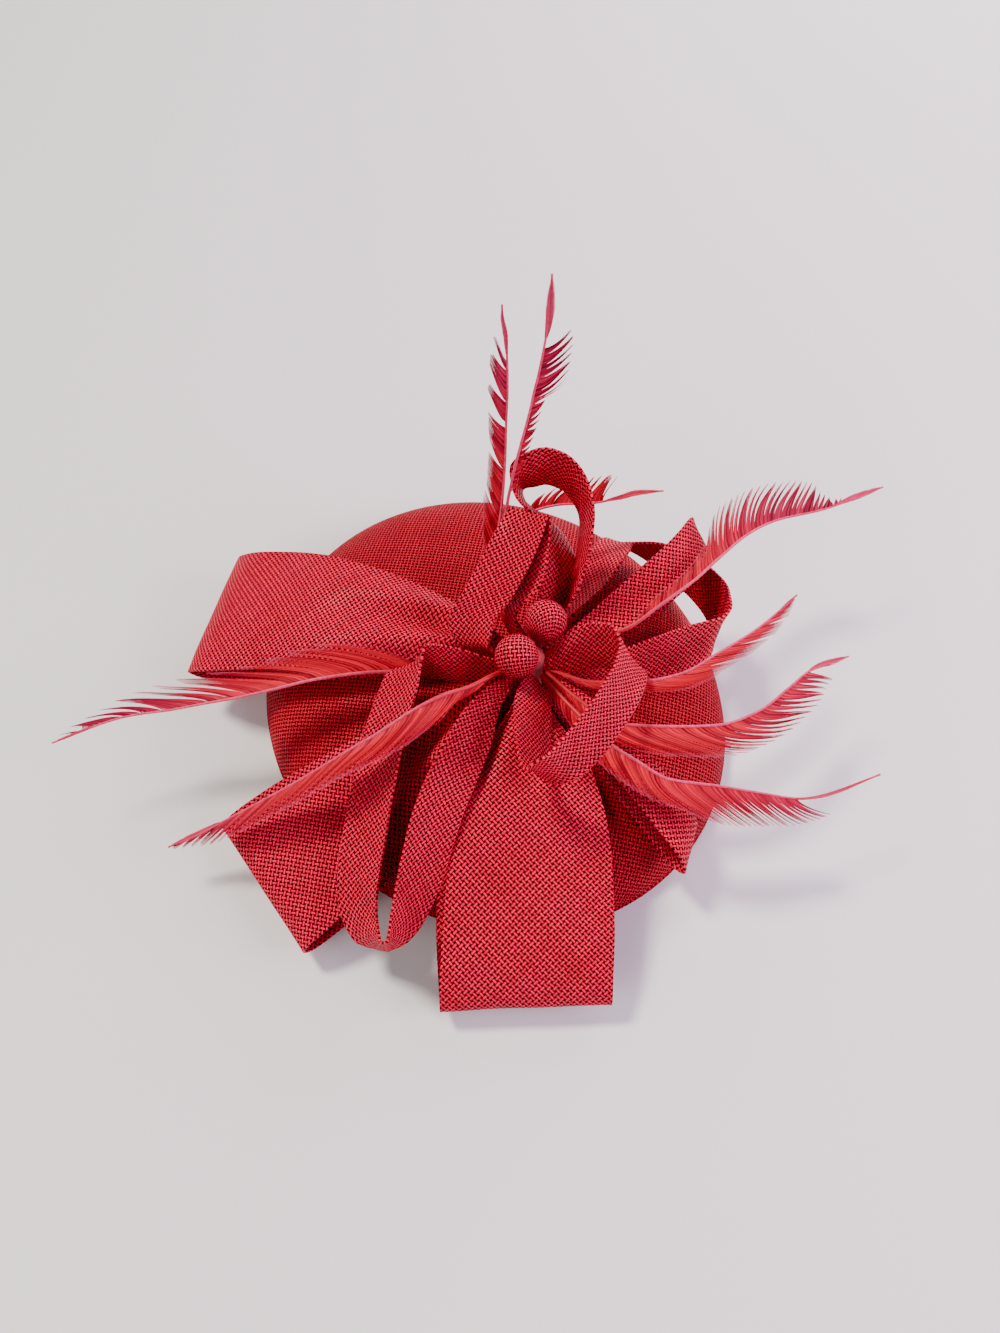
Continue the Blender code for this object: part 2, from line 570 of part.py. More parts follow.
def binding_seat():
    """Height of the stem's foot over the crown."""
    return dome(oval_share(HUB_X, HUB_Y)) + SEAT_GAP


def moved_to(collection, obj, name):
    """Name a new primitive and keep it in one collection only."""
    obj.name = name
    for owner in list(obj.users_collection):
        owner.objects.unlink(obj)
    collection.objects.link(obj)
    return obj


def binding():
    """The thread-wound stem on the crown that the roots are sewn to."""
    bpy.ops.mesh.primitive_cylinder_add(
        vertices=BINDING_SIDES, radius=BINDING_RADIUS, depth=BINDING_HEIGHT,
        location=(HUB_X, HUB_Y, binding_seat() + BINDING_HEIGHT / 2),
    )
    obj = moved_to(fascinator, bpy.context.object, "centre_binding")
    return finish(obj, (0.45, 0.02, 0.04), 0.7)


def ball_wire(name, middle, top):
    """The wire from inside a ball to just over the binding's top."""
    foot = top + (middle - top) * Vector((WIRE_SPREAD, WIRE_SPREAD, 0))
    lean = (middle - foot).normalized()
    foot.z += SEAT_GAP + WIRE_RADIUS * math.hypot(lean.x, lean.y)
    length = (middle - foot).length
    bpy.ops.mesh.primitive_cylinder_add(
        vertices=WIRE_SIDES, radius=WIRE_RADIUS, depth=length, location=(middle + foot) / 2,
        rotation=(middle - foot).to_track_quat("Z", "Y").to_euler(),
    )
    wire = moved_to(cutters, bpy.context.object, name + "_wire")
    wire.hide_render = True
    wire.display_type = "WIRE"
    return wire


def covered_ball(name, spec):
    """A cloth-covered ball fused to the short wire that holds it."""
    top = Vector((HUB_X, HUB_Y, binding_seat() + BINDING_HEIGHT))
    middle = top + BALL_DIAMETER * Vector((spec["right"], spec["back"], spec["above"]))
    bpy.ops.mesh.primitive_uv_sphere_add(
        segments=BALL_SIDES, ring_count=BALL_RINGS, radius=BALL_DIAMETER / 2, location=middle
    )
    obj = moved_to(fascinator, bpy.context.object, name)
    held = obj.modifiers.new("held by its wire", "BOOLEAN")
    held.operation = "UNION"
    held.solver = "EXACT"
    held.object = ball_wire(name, middle, top)
    return finish(obj, (0.65, 0.03, 0.08), 0.55)


def hair_clip():
    """A plain spring clip under the crown, one strip bent over on itself."""
    height = 2 * CLIP_BLADE + CLIP_MOUTH
    end = CLIP_LENGTH / 2
    bend = height / 2 - end
    around = np.linspace(math.pi / 2, 3 * math.pi / 2, BEND_STEPS + 1)
    inner = height / 2 - CLIP_BLADE
    outline = [(end, height / 2), (end, inner)]
    outline += [(bend + inner * math.cos(a), inner * math.sin(a)) for a in around]
    outline += [(end, -inner), (end, -height / 2)]
    outline += [(bend + height / 2 * math.cos(a), height / 2 * math.sin(a)) for a in around[::-1]]
    curve = bpy.data.curves.new("hair_clip", "CURVE")
    curve.dimensions = "2D"
    curve.fill_mode = "BOTH"
    curve.extrude = CLIP_WIDTH / 2
    strip = curve.splines.new("POLY")
    strip.points.add(len(outline) - 1)
    for point, (x, y) in zip(strip.points, outline):
        point.co = (x, y, 0, 1)
    strip.use_cyclic_u = True
    corner = math.hypot(end / (BASE_LENGTH / 2), CLIP_WIDTH / BASE_WIDTH)
    ceiling = dome(corner) * (CROWN_HEIGHT - SHELL_WALL) / CROWN_HEIGHT
    obj = bpy.data.objects.new("hair_clip", curve)
    obj.location = (0, 0, ceiling - SEAT_GAP - height / 2)
    obj.rotation_euler = (math.pi / 2, 0, BASE_TURN)
    fascinator.objects.link(obj)
    return finish(obj, (0.30, 0.30, 0.32), 0.35, metallic=1.0)


for old in list(bpy.data.objects):
    bpy.data.objects.remove(old)
fascinator = bpy.data.collections.new("fascinator")
cutters = bpy.data.collections.new("cutters")
for collection in (fascinator, cutters):
    bpy.context.scene.collection.children.link(collection)

base_shell()
hair_clip()
binding()
for ball_name, ball_spec in BALLS.items():
    covered_ball(ball_name, ball_spec)
for loop_name, loop_spec in LOOPS.items():
    ribbon_loop(loop_name, loop_spec)
for feather_name, feather_spec in FEATHERS.items():
    feather(feather_name, feather_spec)
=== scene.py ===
import math

import bpy
import numpy as np
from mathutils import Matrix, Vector


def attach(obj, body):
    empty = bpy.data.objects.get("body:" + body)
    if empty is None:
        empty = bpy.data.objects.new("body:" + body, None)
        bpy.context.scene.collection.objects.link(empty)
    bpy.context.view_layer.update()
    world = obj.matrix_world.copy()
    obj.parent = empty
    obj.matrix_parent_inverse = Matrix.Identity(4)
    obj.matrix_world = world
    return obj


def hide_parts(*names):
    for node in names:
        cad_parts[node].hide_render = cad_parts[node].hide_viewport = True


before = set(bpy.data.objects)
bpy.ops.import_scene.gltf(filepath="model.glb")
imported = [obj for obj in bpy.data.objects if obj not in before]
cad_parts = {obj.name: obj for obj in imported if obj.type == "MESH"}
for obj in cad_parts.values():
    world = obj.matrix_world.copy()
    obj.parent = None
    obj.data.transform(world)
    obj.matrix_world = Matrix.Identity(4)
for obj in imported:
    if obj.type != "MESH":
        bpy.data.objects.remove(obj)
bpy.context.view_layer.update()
print("frame loaded with", len(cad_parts), "nodes")


# Shader graphs

class Wire:
    def __init__(self, graph, socket):
        self.graph, self.socket = graph, socket

    def work(self, operation, *others):
        return self.graph.add("ShaderNodeMath", {"operation": operation}, dict(enumerate((self, *others))))

    def __add__(self, other):
        return self.work("ADD", other)

    def __sub__(self, other):
        return self.work("SUBTRACT", other)

    def __rsub__(self, other):
        return self.work("MULTIPLY_ADD", -1.0, other)

    def __mul__(self, other):
        return self.work("MULTIPLY", other)

    def __truediv__(self, other):
        return self.work("DIVIDE", other)

    __radd__ = __add__
    __rmul__ = __mul__

    def rises(self, low, high):  # 0 below low, 1 above high, smooth between
        return self.graph.add(
            "ShaderNodeMapRange", {"interpolation_type": "SMOOTHSTEP"},
            {"Value": self, "From Min": low, "From Max": high},
        )


class Graph:
    def __init__(self, name):
        self.material = bpy.data.materials.new(name)
        self.material.use_nodes = True
        self.tree = self.material.node_tree
        self.shader = self.tree.nodes["Principled BSDF"]

    def put(self, socket, value):
        if isinstance(value, Wire):
            self.tree.links.new(value.socket, socket)
        else:
            socket.default_value = value

    def add(self, kind, settings, inputs, output=0):
        node = self.tree.nodes.new(kind)
        for key, value in settings.items():
            setattr(node, key, value)
        for key, value in inputs.items():
            self.put(node.inputs[key], value)
        return Wire(self, node.outputs[output])

    def mix(self, factor, low, high):  # colours
        colours = [(*c, 1) if isinstance(c, tuple) else c for c in (low, high)]
        node = self.tree.nodes.new("ShaderNodeMix")
        node.data_type = "RGBA"
        for socket, value in zip((node.inputs[0], node.inputs[6], node.inputs[7]), (factor, *colours)):
            self.put(socket, value)
        return Wire(self, node.outputs[2])

    def finish(self, **sockets):
        for key, value in sockets.items():
            if isinstance(value, tuple) and len(value) == 3:
                value = (*value, 1)
            self.put(self.shader.inputs[key.replace("_", " ")], value)
        return self.material


weave = {
    "pitch": 0.0013, "warp": 0.25, "weft": 0.29, "soft": 0.06, "relief": 0.00050, "bump": 1.0,
    "warpFloat": (-0.8, 0.4), "weftFloat": (-0.4, 0.8),  # long flat floats that dive steeply
    "round": 4.5, "crossing": 0.6,  # how round a thread is, and how much of its height is the crossing's
    "weftTone": 0.8, "wobbleScale": 260.0, "fleckScale": 620.0, "fleck": 0.6, "pale": 0.62,
    "threadFrom": (0.50, 0.92), "holeUpTo": (0.10, 0.40),  # heights
    "ior": 1.2, "glintFrom": (0.80, 1.0), "coatRoughness": 0.30, "coatIor": 1.4,
}


def wovenCloth(name, look):
    # Plain weave cut on the bias, on a UV map in metres. Threads lie at whole numbers of a and b.
    graph = Graph(name)
    uv = graph.add("ShaderNodeUVMap", {"uv_map": "cloth"}, {})
    wobble = graph.add("ShaderNodeTexNoise", {}, {"Vector": uv, "Scale": weave["wobbleScale"], "Detail": 1.0})
    u = graph.add("ShaderNodeSeparateXYZ", {}, {0: uv}, 0)
    v = graph.add("ShaderNodeSeparateXYZ", {}, {0: uv}, 1)
    step = weave["pitch"] * math.sqrt(2)
    a = (u + v) / step + (wobble - 0.5) * look["wobble"]
    b = (u - v) / step + (wobble - 0.5) * look["wobble"]
    nearA = (a + 0.5).work("FLOOR")
    nearB = (b + 0.5).work("FLOOR")
    offA = (a - nearA).work("ABSOLUTE")
    offB = (b - nearB).work("ABSOLUTE")
    widthA, widthB = look.get("warp", weave["warp"]), look.get("weft", weave["weft"])  # shares of the pitch
    maskA = 1 - offA.rises(widthA - weave["soft"], widthA + weave["soft"])
    maskB = 1 - offB.rises(widthB - weave["soft"], widthB + weave["soft"])
    riseA = ((nearA + b) * math.pi).work("COSINE").rises(*weave["warpFloat"])
    riseB = 1 - ((nearB + a) * math.pi).work("COSINE").rises(*weave["weftFloat"])
    roundA = 1 - offA * offA * weave["round"]
    roundB = 1 - offB * offB * weave["round"]
    heightA = maskA * (riseA * weave["crossing"] + roundA * (1 - weave["crossing"]))
    heightB = maskB * (riseB * weave["crossing"] + roundB * (1 - weave["crossing"]))
    height = heightA.work("MAXIMUM", heightB)
    onTop = heightA.work("GREATER_THAN", heightB)
    toneA = graph.add("ShaderNodeTexWhiteNoise", {"noise_dimensions": "1D"}, {"W": nearA})
    toneB = graph.add("ShaderNodeTexWhiteNoise", {"noise_dimensions": "1D"}, {"W": nearB + 0.37})
    fleck = graph.add("ShaderNodeTexNoise", {}, {"Vector": uv, "Scale": weave["fleckScale"], "Detail": 2.0})
    tone = onTop * toneA + (1 - onTop) * toneB * weave["weftTone"] + fleck.rises(0.35, 0.65) * weave["fleck"]
    shade = graph.add("ShaderNodeTexNoise", {}, {"Vector": uv, "Scale": look["patch"], "Detail": 3.0})
    lit = graph.mix(shade.rises(0.3, 0.7), look["thread"], look["threadFar"])
    straw = graph.mix((1 - tone * weave["pale"]) * look["uneven"], lit, look["low"])
    # Painted shade: threads darken to the low colour where they sink under a crossing thread and along their
    # rounded edges; above, the same colour is also the dark end of their random tone.
    thread = graph.mix(height.rises(*weave["threadFrom"]), look["low"], straw)
    # Painted shade: the weave's holes are not open but take a dark colour that stands for the shaded layer
    # seen through them.
    cloth = graph.mix(height.rises(*weave["holeUpTo"]), look["shadedHole"], thread)
    bump = graph.add(
        "ShaderNodeBump", {}, {"Strength": weave["bump"], "Distance": weave["relief"], "Height": height}
    )
    return graph.finish(
        Base_Color=cloth, Roughness=1 - height * look["polish"], Normal=bump,
        IOR=weave["ior"], Specular_IOR_Level=look["gloss"], Specular_Tint=look["shine"],
        Coat_Weight=height.rises(*weave["glintFrom"]) * look["glint"],
        Coat_Roughness=weave["coatRoughness"], Coat_IOR=weave["coatIor"],
    )


# In each look below, "low" is painted shade on the threads where they sink under others, and also the dark
# end of their random tone; the hole colour is painted shade in the holes.
ribbonLook = {
    "thread": (1.0, 0.013, 0.072), "threadFar": (0.92, 0.008, 0.050), "low": (0.22, 0.0005, 0.008),
    "shadedHole": (0.030, 0.0001, 0.0004), "uneven": 0.55,
    "wobble": 0.22, "patch": 45.0, "polish": 0.58, "gloss": 0.75, "shine": (1.0, 0.16, 0.36),
    "glint": 0.08,
}
baseLook = {
    "thread": (0.68, 0.006, 0.032), "threadFar": (0.54, 0.004, 0.022), "low": (0.18, 0.0005, 0.004),
    "shadedHole": (0.025, 0.0001, 0.0004), "uneven": 0.50, "warp": 0.24, "weft": 0.28,
    "wobble": 0.20, "patch": 30.0, "polish": 0.50, "gloss": 0.5, "shine": (1.0, 0.18, 0.38),
    "glint": 0.04,
}
ballLook = {
    "thread": (1.0, 0.020, 0.080), "threadFar": (0.92, 0.010, 0.055), "low": (0.22, 0.0005, 0.005),
    "shadedHole": (0.025, 0.0001, 0.0005), "uneven": 0.40, "warp": 0.19, "weft": 0.27,
    "wobble": 0.40, "patch": 120.0, "polish": 0.62, "gloss": 0.9, "shine": (1.0, 0.26, 0.46),
    "glint": 0.20,
}
ribbonCloth = wovenCloth("ribbon_cloth", ribbonLook)
baseCloth = wovenCloth("base_cloth", baseLook)
ballCloth = wovenCloth("ball_cloth", ballLook)
print("woven cloths made")


# Crown and gathering point that every loop and feather follows, as in the frame

crown = {
    "length": 0.170, "width": 0.152, "turn": math.radians(-55), "height": 0.027,
    "breadthPower": 2.6, "heightPower": 2.2, "shoulder": 0.8, "floorGap": 0.0012, "floorSoftness": 0.004,
}
gather = {"x": 0.012, "y": -0.008}
smoothSteps, steepest = 16, 1.6  # points between two rows, and how steep a column may pass through one


def ovalShare(x, y):
    along = np.cos(crown["turn"]) * x + np.sin(crown["turn"]) * y
    aside = np.cos(crown["turn"]) * y - np.sin(crown["turn"]) * x
    return np.hypot(along / (crown["length"] / 2), aside / (crown["width"] / 2))


def dome(share):
    inside = np.clip(1 - np.abs(share) ** crown["breadthPower"], 0, 1)
    return crown["height"] * inside ** (1 / crown["heightPower"])


def restHeight(x, y):  # the crown, then a straight slope that eases into the floor
    share = ovalShare(x, y)
    edge = crown["shoulder"]
    slope = (dome(edge) - dome(edge - 0.01)) / 0.01
    over = np.where(share < edge, dome(share), dome(edge) + slope * (share - edge)) - crown["floorGap"]
    return crown["floorGap"] + (over + np.hypot(over, crown["floorSoftness"])) / 2


def smoothRows(spec, steps):  # a smooth curve through the rows that never swings past them
    rows = np.array(spec["rows"], float)
    lengths = rows[:, :3] * [spec["reach"], spec["reach"], spec["rise"]]
    apart = np.linalg.norm(np.diff(lengths, axis=0), axis=1)[:, None]
    rates = np.diff(rows, axis=0) / apart
    slopes = np.concatenate([rates[:1], (rows[2:] - rows[:-2]) / (apart[1:] + apart[:-1]), rates[-1:]])
    limit = steepest * np.minimum(np.abs(rates[1:]), np.abs(rates[:-1]))
    slopes[1:-1] = np.clip(slopes[1:-1], -limit, limit)
    found = [rows[0]]
    for i, span in enumerate(apart):
        for t in np.linspace(0, 1, steps + 1)[1:]:
            found.append(
                (2 * t**3 - 3 * t**2 + 1) * rows[i] + (t**3 - 2 * t**2 + t) * span * slopes[i]
                + (3 * t**2 - 2 * t**3) * rows[i + 1] + (t**3 - t**2) * span * slopes[i + 1]
            )
    return np.array(found)


def centreLine(spec, rows):
    x = gather["x"] + rows[:, 0] * spec["reach"]
    y = gather["y"] + rows[:, 1] * spec["reach"]
    return np.stack([x, y, restHeight(x, y) + rows[:, 2] * spec["rise"]], axis=1)


def evenRows(spec, step):  # sections one step apart along the line
    rows = smoothRows(spec, smoothSteps)
    centre = centreLine(spec, rows)
    run = np.concatenate([[0], np.cumsum(np.linalg.norm(np.diff(centre, axis=0), axis=1))])
    places = np.linspace(0, run[-1], max(4, round(run[-1] / step)) + 1)
    rows = np.stack([np.interp(places, run, column) for column in rows.T], axis=1)
    return rows, centreLine(spec, rows), places


def unit(vectors):
    return vectors / np.linalg.norm(vectors, axis=-1, keepdims=True)


def acrossOf(turn, tilt):
    turn, tilt = np.radians(turn), np.radians(tilt)
    return np.stack([np.cos(tilt) * np.cos(turn), np.cos(tilt) * np.sin(turn), np.sin(tilt)], axis=1)


def deselect():
    bpy.ops.object.select_all(action="DESELECT")


def settle(obj, name, material, node):
    obj.name = name
    obj.data.name = name
    obj.data.materials.clear()
    obj.data.materials.append(material)
    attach(obj, "root")
    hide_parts(node)


def closeSurface(smoothUnder, merge=True):  # of the active piece
    bpy.ops.object.mode_set(mode="EDIT")
    bpy.ops.mesh.select_all(action="SELECT")
    if merge:
        bpy.ops.mesh.remove_doubles(threshold=0.00001)
    bpy.ops.mesh.normals_make_consistent(inside=False)
    bpy.ops.object.mode_set(mode="OBJECT")
    bpy.ops.object.shade_smooth_by_angle(angle=math.radians(smoothUnder))


def cornersOf(mesh):
    corners = np.zeros(len(mesh.loops), int)
    mesh.loops.foreach_get("vertex_index", corners)
    return corners


def gridOf(points, uvs):
    # A grid primitive bent to rows of points, with its UV map in metres
    rows, columns = points.shape[:2]
    deselect()
    bpy.ops.mesh.primitive_grid_add(x_subdivisions=columns - 1, y_subdivisions=rows - 1, size=1)
    obj = bpy.context.object
    mesh = obj.data
    flat = np.zeros(len(mesh.vertices) * 3)
    mesh.vertices.foreach_get("co", flat)
    order = np.lexsort((flat[0::3].round(5), flat[1::3].round(5)))
    placed = np.zeros((len(mesh.vertices), 3))
    placed[order] = points.reshape(-1, 3)
    cloth = np.zeros((len(mesh.vertices), 2))
    cloth[order] = uvs.reshape(-1, 2)
    mesh.vertices.foreach_set("co", placed.ravel())
    layer = mesh.uv_layers[0]
    layer.name = "cloth"
    layer.data.foreach_set("uv", cloth[cornersOf(mesh)].ravel())
    mesh.update()
    return obj


# Ribbon loops

ribbon = {"step": 0.0014, "thickness": 0.0008, "crumple": 0.00011, "cup": 0.045}

# Each row of a loop: right, back and height as shares of its reach and rise, the share of the ribbon's
# width, the turn and tilt of that width in degrees, and the depth of its pleats
loops = {
    "wide_loop_left_cloth": {
        "node": "wide_loop_left", "reach": 0.1, "rise": 0.01, "ribbon": 0.05, "draped": True,
        "rows": [
            (-0.053, 0.022, 0.8, 0.1, 70, 0, 0.03),
            (-0.16, 0.1, 0.98, 0.28, 70, 0, 0.04),
            (-0.38, 0.155, 1.15, 0.57, 74, 0, 0.03),
            (-0.62, 0.205, 1.32, 0.8, 74, 0, 0.01),
            (-0.84, 0.26, 1.52, 0.92, 74, 0, 0),
            (-1.02, 0.29, 1.68, 0.95, 76, 0, 0),
            (-1.085, 0.32, 1.25, 0.95, 76, 0, 0),
            (-1.02, 0.31, 0.75, 0.95, 76, 0, 0),
            (-0.82, 0.27, 0.3, 0.92, 76, 0, 0),
            (-0.55, 0.2, 0.085, 0.74, 76, 0, 0),
            (-0.28, 0.12, 0.085, 0.42, 74, 0, 0),
            (-0.053, 0.022, 0.085, 0.1, 70, 0, 0),
        ],
    },
    "wide_loop_left_front_cloth": {
        "node": "wide_loop_left_front", "reach": 0.1, "rise": 0.01, "ribbon": 0.05, "draped": True,
        "rows": [
            (-0.046, -0.032, 0.8, 0.1, 127, 0, 0.035),
            (-0.2, -0.15, 0.9, 0.28, 126, 0, 0.055),
            (-0.455, -0.385, 0.95, 0.74, 125, 0, 0.035),
            (-0.68, -0.535, 1, 0.92, 124, 0, 0),
            (-0.79, -0.605, 0.92, 0.97, 126, 0, 0),
            (-0.825, -0.63, 0.58, 0.97, 127, 0, 0),
            (-0.79, -0.605, 0.2, 0.97, 126, 0, 0),
            (-0.55, -0.445, 0.085, 0.84, 125, 0, 0),
            (-0.28, -0.215, 0.085, 0.42, 126, 0, 0),
            (-0.046, -0.032, 0.085, 0.1, 127, 0, 0),
        ],
    },
    "wide_loop_front_cloth": {
        "node": "wide_loop_front", "reach": 0.1, "rise": 0.01, "ribbon": 0.05, "draped": True,
        "rows": [
            (0, -0.055, 0.8, 0.1, 180, 0, 0.03),
            (0, -0.165, 0.9, 0.3, 178, 0, 0.04),
            (0.01, -0.335, 0.98, 0.68, 176, 0, 0.02),
            (-0.005, -0.6, 1.06, 0.95, 178, 0, 0),
            (-0.015, -0.84, 1.06, 1, 181, 0, 0),
            (-0.02, -0.945, 0.86, 1, 182, 0, 0),
            (-0.02, -0.98, 0.48, 1, 182, 0, 0),
            (-0.025, -0.93, 0.12, 1, 182, 0, 0),
            (-0.04, -0.7, 0.085, 0.98, 180, 0, 0),
            (-0.015, -0.35, 0.085, 0.66, 178, 0, 0),
            (0, -0.16, 0.085, 0.28, 180, 0, 0),
            (0, -0.055, 0.085, 0.1, 180, 0, 0),
        ],
    },
    "folded_loop_right_front_cloth": {
        "node": "folded_loop_right_front", "reach": 0.075, "rise": 0.01,
        "ribbon": 0.025, "cutWidth": 0.016, "draped": True,
        "rows": [
            (0.062, -0.042, 0.8, 0.16, 226, 0, 0),
            (0.175, -0.165, 0.96, 0.34, 226, 0, 0),
            (0.32, -0.345, 1.06, 0.5, 227, 4, 0),
            (0.49, -0.525, 1, 0.58, 236, 6, 0),
            (0.61, -0.655, 0.95, 0.66, 250, 10, 0),
            (0.645, -0.71, 0.55, 0.66, 252, 8, 0),
            (0.6, -0.66, 0.12, 0.62, 245, 0, 0),
            (0.4, -0.43, 0.085, 0.56, 230, 0, 0),
            (0.2, -0.2, 0.085, 0.36, 226, 0, 0),
            (0.062, -0.042, 0.085, 0.16, 226, 0, 0),
        ],
    },
    "folded_loop_right_back_cloth": {
        "node": "folded_loop_right_back", "reach": 0.08, "rise": 0.01,
        "ribbon": 0.025, "cutWidth": 0.016, "draped": False,
        "rows": [
            (0.056, 0.04, 0.85, 0.16, -54, 0, 0),
            (0.26, 0.14, 1.4, 0.42, -52, -8, 0),
            (0.46, 0.29, 2.05, 0.55, -50, -15, 0),
            (0.58, 0.385, 2.65, 0.6, -50, -20, 0),
            (0.66, 0.48, 3, 0.6, -54, -20, 0),
            (0.71, 0.57, 3.1, 0.58, -62, -20, 0),
            (0.725, 0.59, 2.85, 0.56, -62, -18, 0),
            (0.67, 0.51, 2.7, 0.56, -58, -18, 0),
            (0.58, 0.4, 2.35, 0.58, -50, -18, 0),
            (0.44, 0.3, 1.15, 0.52, -50, -12, 0),
            (0.24, 0.165, 0.22, 0.36, -54, -4, 0),
            (0.056, 0.04, 0.085, 0.16, -54, 0, 0),
        ],
    },
    "standing_loop_right_cloth": {
        "node": "standing_loop_right", "reach": 0.065, "rise": 0.01, "ribbon": 0.016, "draped": False,
        "rows": [
            (0.088, -0.02, 0.4, 0.25, 100, 60, 0),
            (0.33, -0.01, 0.7, 0.7, 97, 65, 0),
            (0.57, 0.065, 0.98, 0.95, 99, 67, 0),
            (0.8, 0.14, 1.45, 1, 92, 60, 0),
            (0.92, 0.2, 1.7, 1, 70, 63, 0),
            (0.97, 0.3, 1.75, 1, 54, 66, 0),
            (0.975, 0.44, 1.55, 1, 37, 70, 0),
            (0.92, 0.58, 1.35, 1, 15, 70, 0),
            (0.77, 0.72, 1.3, 1, -20, 66, 0),
            (0.62, 0.78, 1.3, 1, -45, 56, 0),
            (0.49, 0.79, 1.35, 1, -48, 38, 0),
            (0.43, 0.7, 1.35, 1, -36, 32, 0),
            (0.32, 0.49, 1, 0.8, -40, 35, 0),
            (0.16, 0.28, 0.6, 0.4, -40, 50, 0),
            (0.02, 0.088, 0.4, 0.2, -40, 60, 0),
        ],
    },
    "curled_loop_right_cloth": {
        "node": "curled_loop_right", "reach": 0.045, "rise": 0.03, "ribbon": 0.016, "draped": False,
        "rows": [
            (0.125, -0.03, 0.43, 0.25, -84, -55, 0),
            (0.25, -0.005, 0.56, 0.75, -82, -59, 0),
            (0.397, 0.022, 0.66, 1, -78, -60, 0),
            (0.548, 0.005, 0.72, 1, -65, -58, 0),
            (0.662, -0.097, 0.831, 1, -23, -55, 0),
            (0.624, -0.297, 0.952, 1, -11, -52, 0),
            (0.474, -0.583, 1.026, 1, -21, -54, 0),
            (0.269, -0.846, 1.035, 1, -22, -57, 0),
            (0.11, -0.954, 0.984, 1, -6, -65, 0),
            (0.019, -0.947, 0.859, 1, 22, -65, 0),
            (0.006, -0.788, 0.72, 1, 9, -54, 0),
            (0.008, -0.537, 0.62, 1, 13, -46, 0),
            (0.007, -0.28, 0.51, 0.72, 13, -32, 0),
            (0, -0.125, 0.43, 0.25, 10, -50, 0),
        ],
    },
    "long_loop_front_cloth": {
        "node": "long_loop_front", "reach": 0.085, "rise": 0.02, "ribbon": 0.016, "draped": False,
        "rows": [
            (-0.06, -0.022, 0.61, 0.25, 80, 60, 0),
            (-0.16, -0.05, 0.75, 0.5, 88, 70, 0),
            (-0.28, -0.055, 0.87, 0.9, 90, 74, 0),
            (-0.385, -0.045, 0.97, 1, 20, 80, 0),
            (-0.44, -0.06, 0.95, 1, -18, 50, 0),
            (-0.47, -0.145, 0.9, 1, -20, 36, 0),
            (-0.52, -0.34, 0.87, 1, -24, 28, 0),
            (-0.575, -0.645, 0.86, 1, -20, 27, 0),
            (-0.595, -0.833, 0.825, 1, -13, 36, 0),
            (-0.555, -0.959, 0.826, 1, -11, 59, 0),
            (-0.497, -0.984, 0.804, 1, -61, 84, 0),
            (-0.461, -0.962, 0.801, 1, -155, 75, 0),
            (-0.426, -0.902, 0.825, 1, -161, 57, 0),
            (-0.385, -0.791, 0.87, 1, -167, 42, 0),
            (-0.325, -0.59, 0.86, 1, -172, 30, 0),
            (-0.225, -0.355, 0.84, 0.9, -190, 36, 0),
            (-0.142, -0.17, 0.8, 0.5, -193, 38, 0),
            (-0.04, -0.056, 0.6, 0.22, -190, 50, 0),
        ],
    },
    "upright_loop_left_cloth": {
        "node": "upright_loop_left", "reach": 0.045, "rise": 0.04, "ribbon": 0.016, "draped": False,
        "rows": [
            (-0.115, 0.045, 0.31, 0.25, -35, 60, 0),
            (-0.26, 0.03, 0.345, 0.45, -32, 50, 0),
            (-0.39, 0.08, 0.41, 0.8, -27, 37, 0),
            (-0.405, 0.225, 0.49, 1, -15, 20, 0),
            (-0.3, 0.345, 0.63, 1, -16, 11, 0),
            (-0.185, 0.51, 0.78, 1, -20, 12, 0),
            (-0.08, 0.69, 0.915, 1, -28, 18, 0),
            (-0.01, 0.835, 1, 1, -38, 27, 0),
            (0, 0.8, 0.93, 1, -40, 27, 0),
            (-0.03, 0.6, 0.77, 1, -37, 28, 0),
            (-0.06, 0.44, 0.64, 0.95, -32, 35, 0),
            (-0.14, 0.26, 0.45, 0.4, -38, 55, 0),
            (-0.046, 0.115, 0.31, 0.25, -34, 60, 0),
        ],
    },
    "tall_loop_back_cloth": {
        "node": "tall_loop_back", "reach": 0.05, "rise": 0.05, "ribbon": 0.016, "draped": False,
        "rows": [
            (0.02, 0.108, 0.235, 0.2, -20, -50, 0),
            (0.083, 0.278, 0.25, 0.36, -16, -25, 0),
            (0.152, 0.379, 0.327, 0.65, 5, -31, 0),
            (0.201, 0.554, 0.478, 0.95, 17, -38, 0),
            (0.146, 0.79, 0.575, 0.9, 28, -50, 0),
            (-0.06, 0.96, 0.71, 1, 60, -62, 0),
            (-0.078, 1.008, 0.83, 1, 38, -71, 0),
            (0, 1.02, 0.895, 1, 0, -82, 0),
            (0.11, 1.03, 0.925, 1, -100, -88, 0),
            (0.247, 0.97, 0.89, 1, -215, -83, 0),
            (0.342, 0.8, 0.755, 1, -247, -63, 0),
            (0.324, 0.628, 0.575, 1, -252, -57, 0),
            (0.265, 0.434, 0.397, 0.8, -252, -58, 0),
            (0.155, 0.25, 0.25, 0.26, -250, -58, 0),
            (0.09, 0.072, 0.235, 0.2, -250, -65, 0),
        ],
    },
}


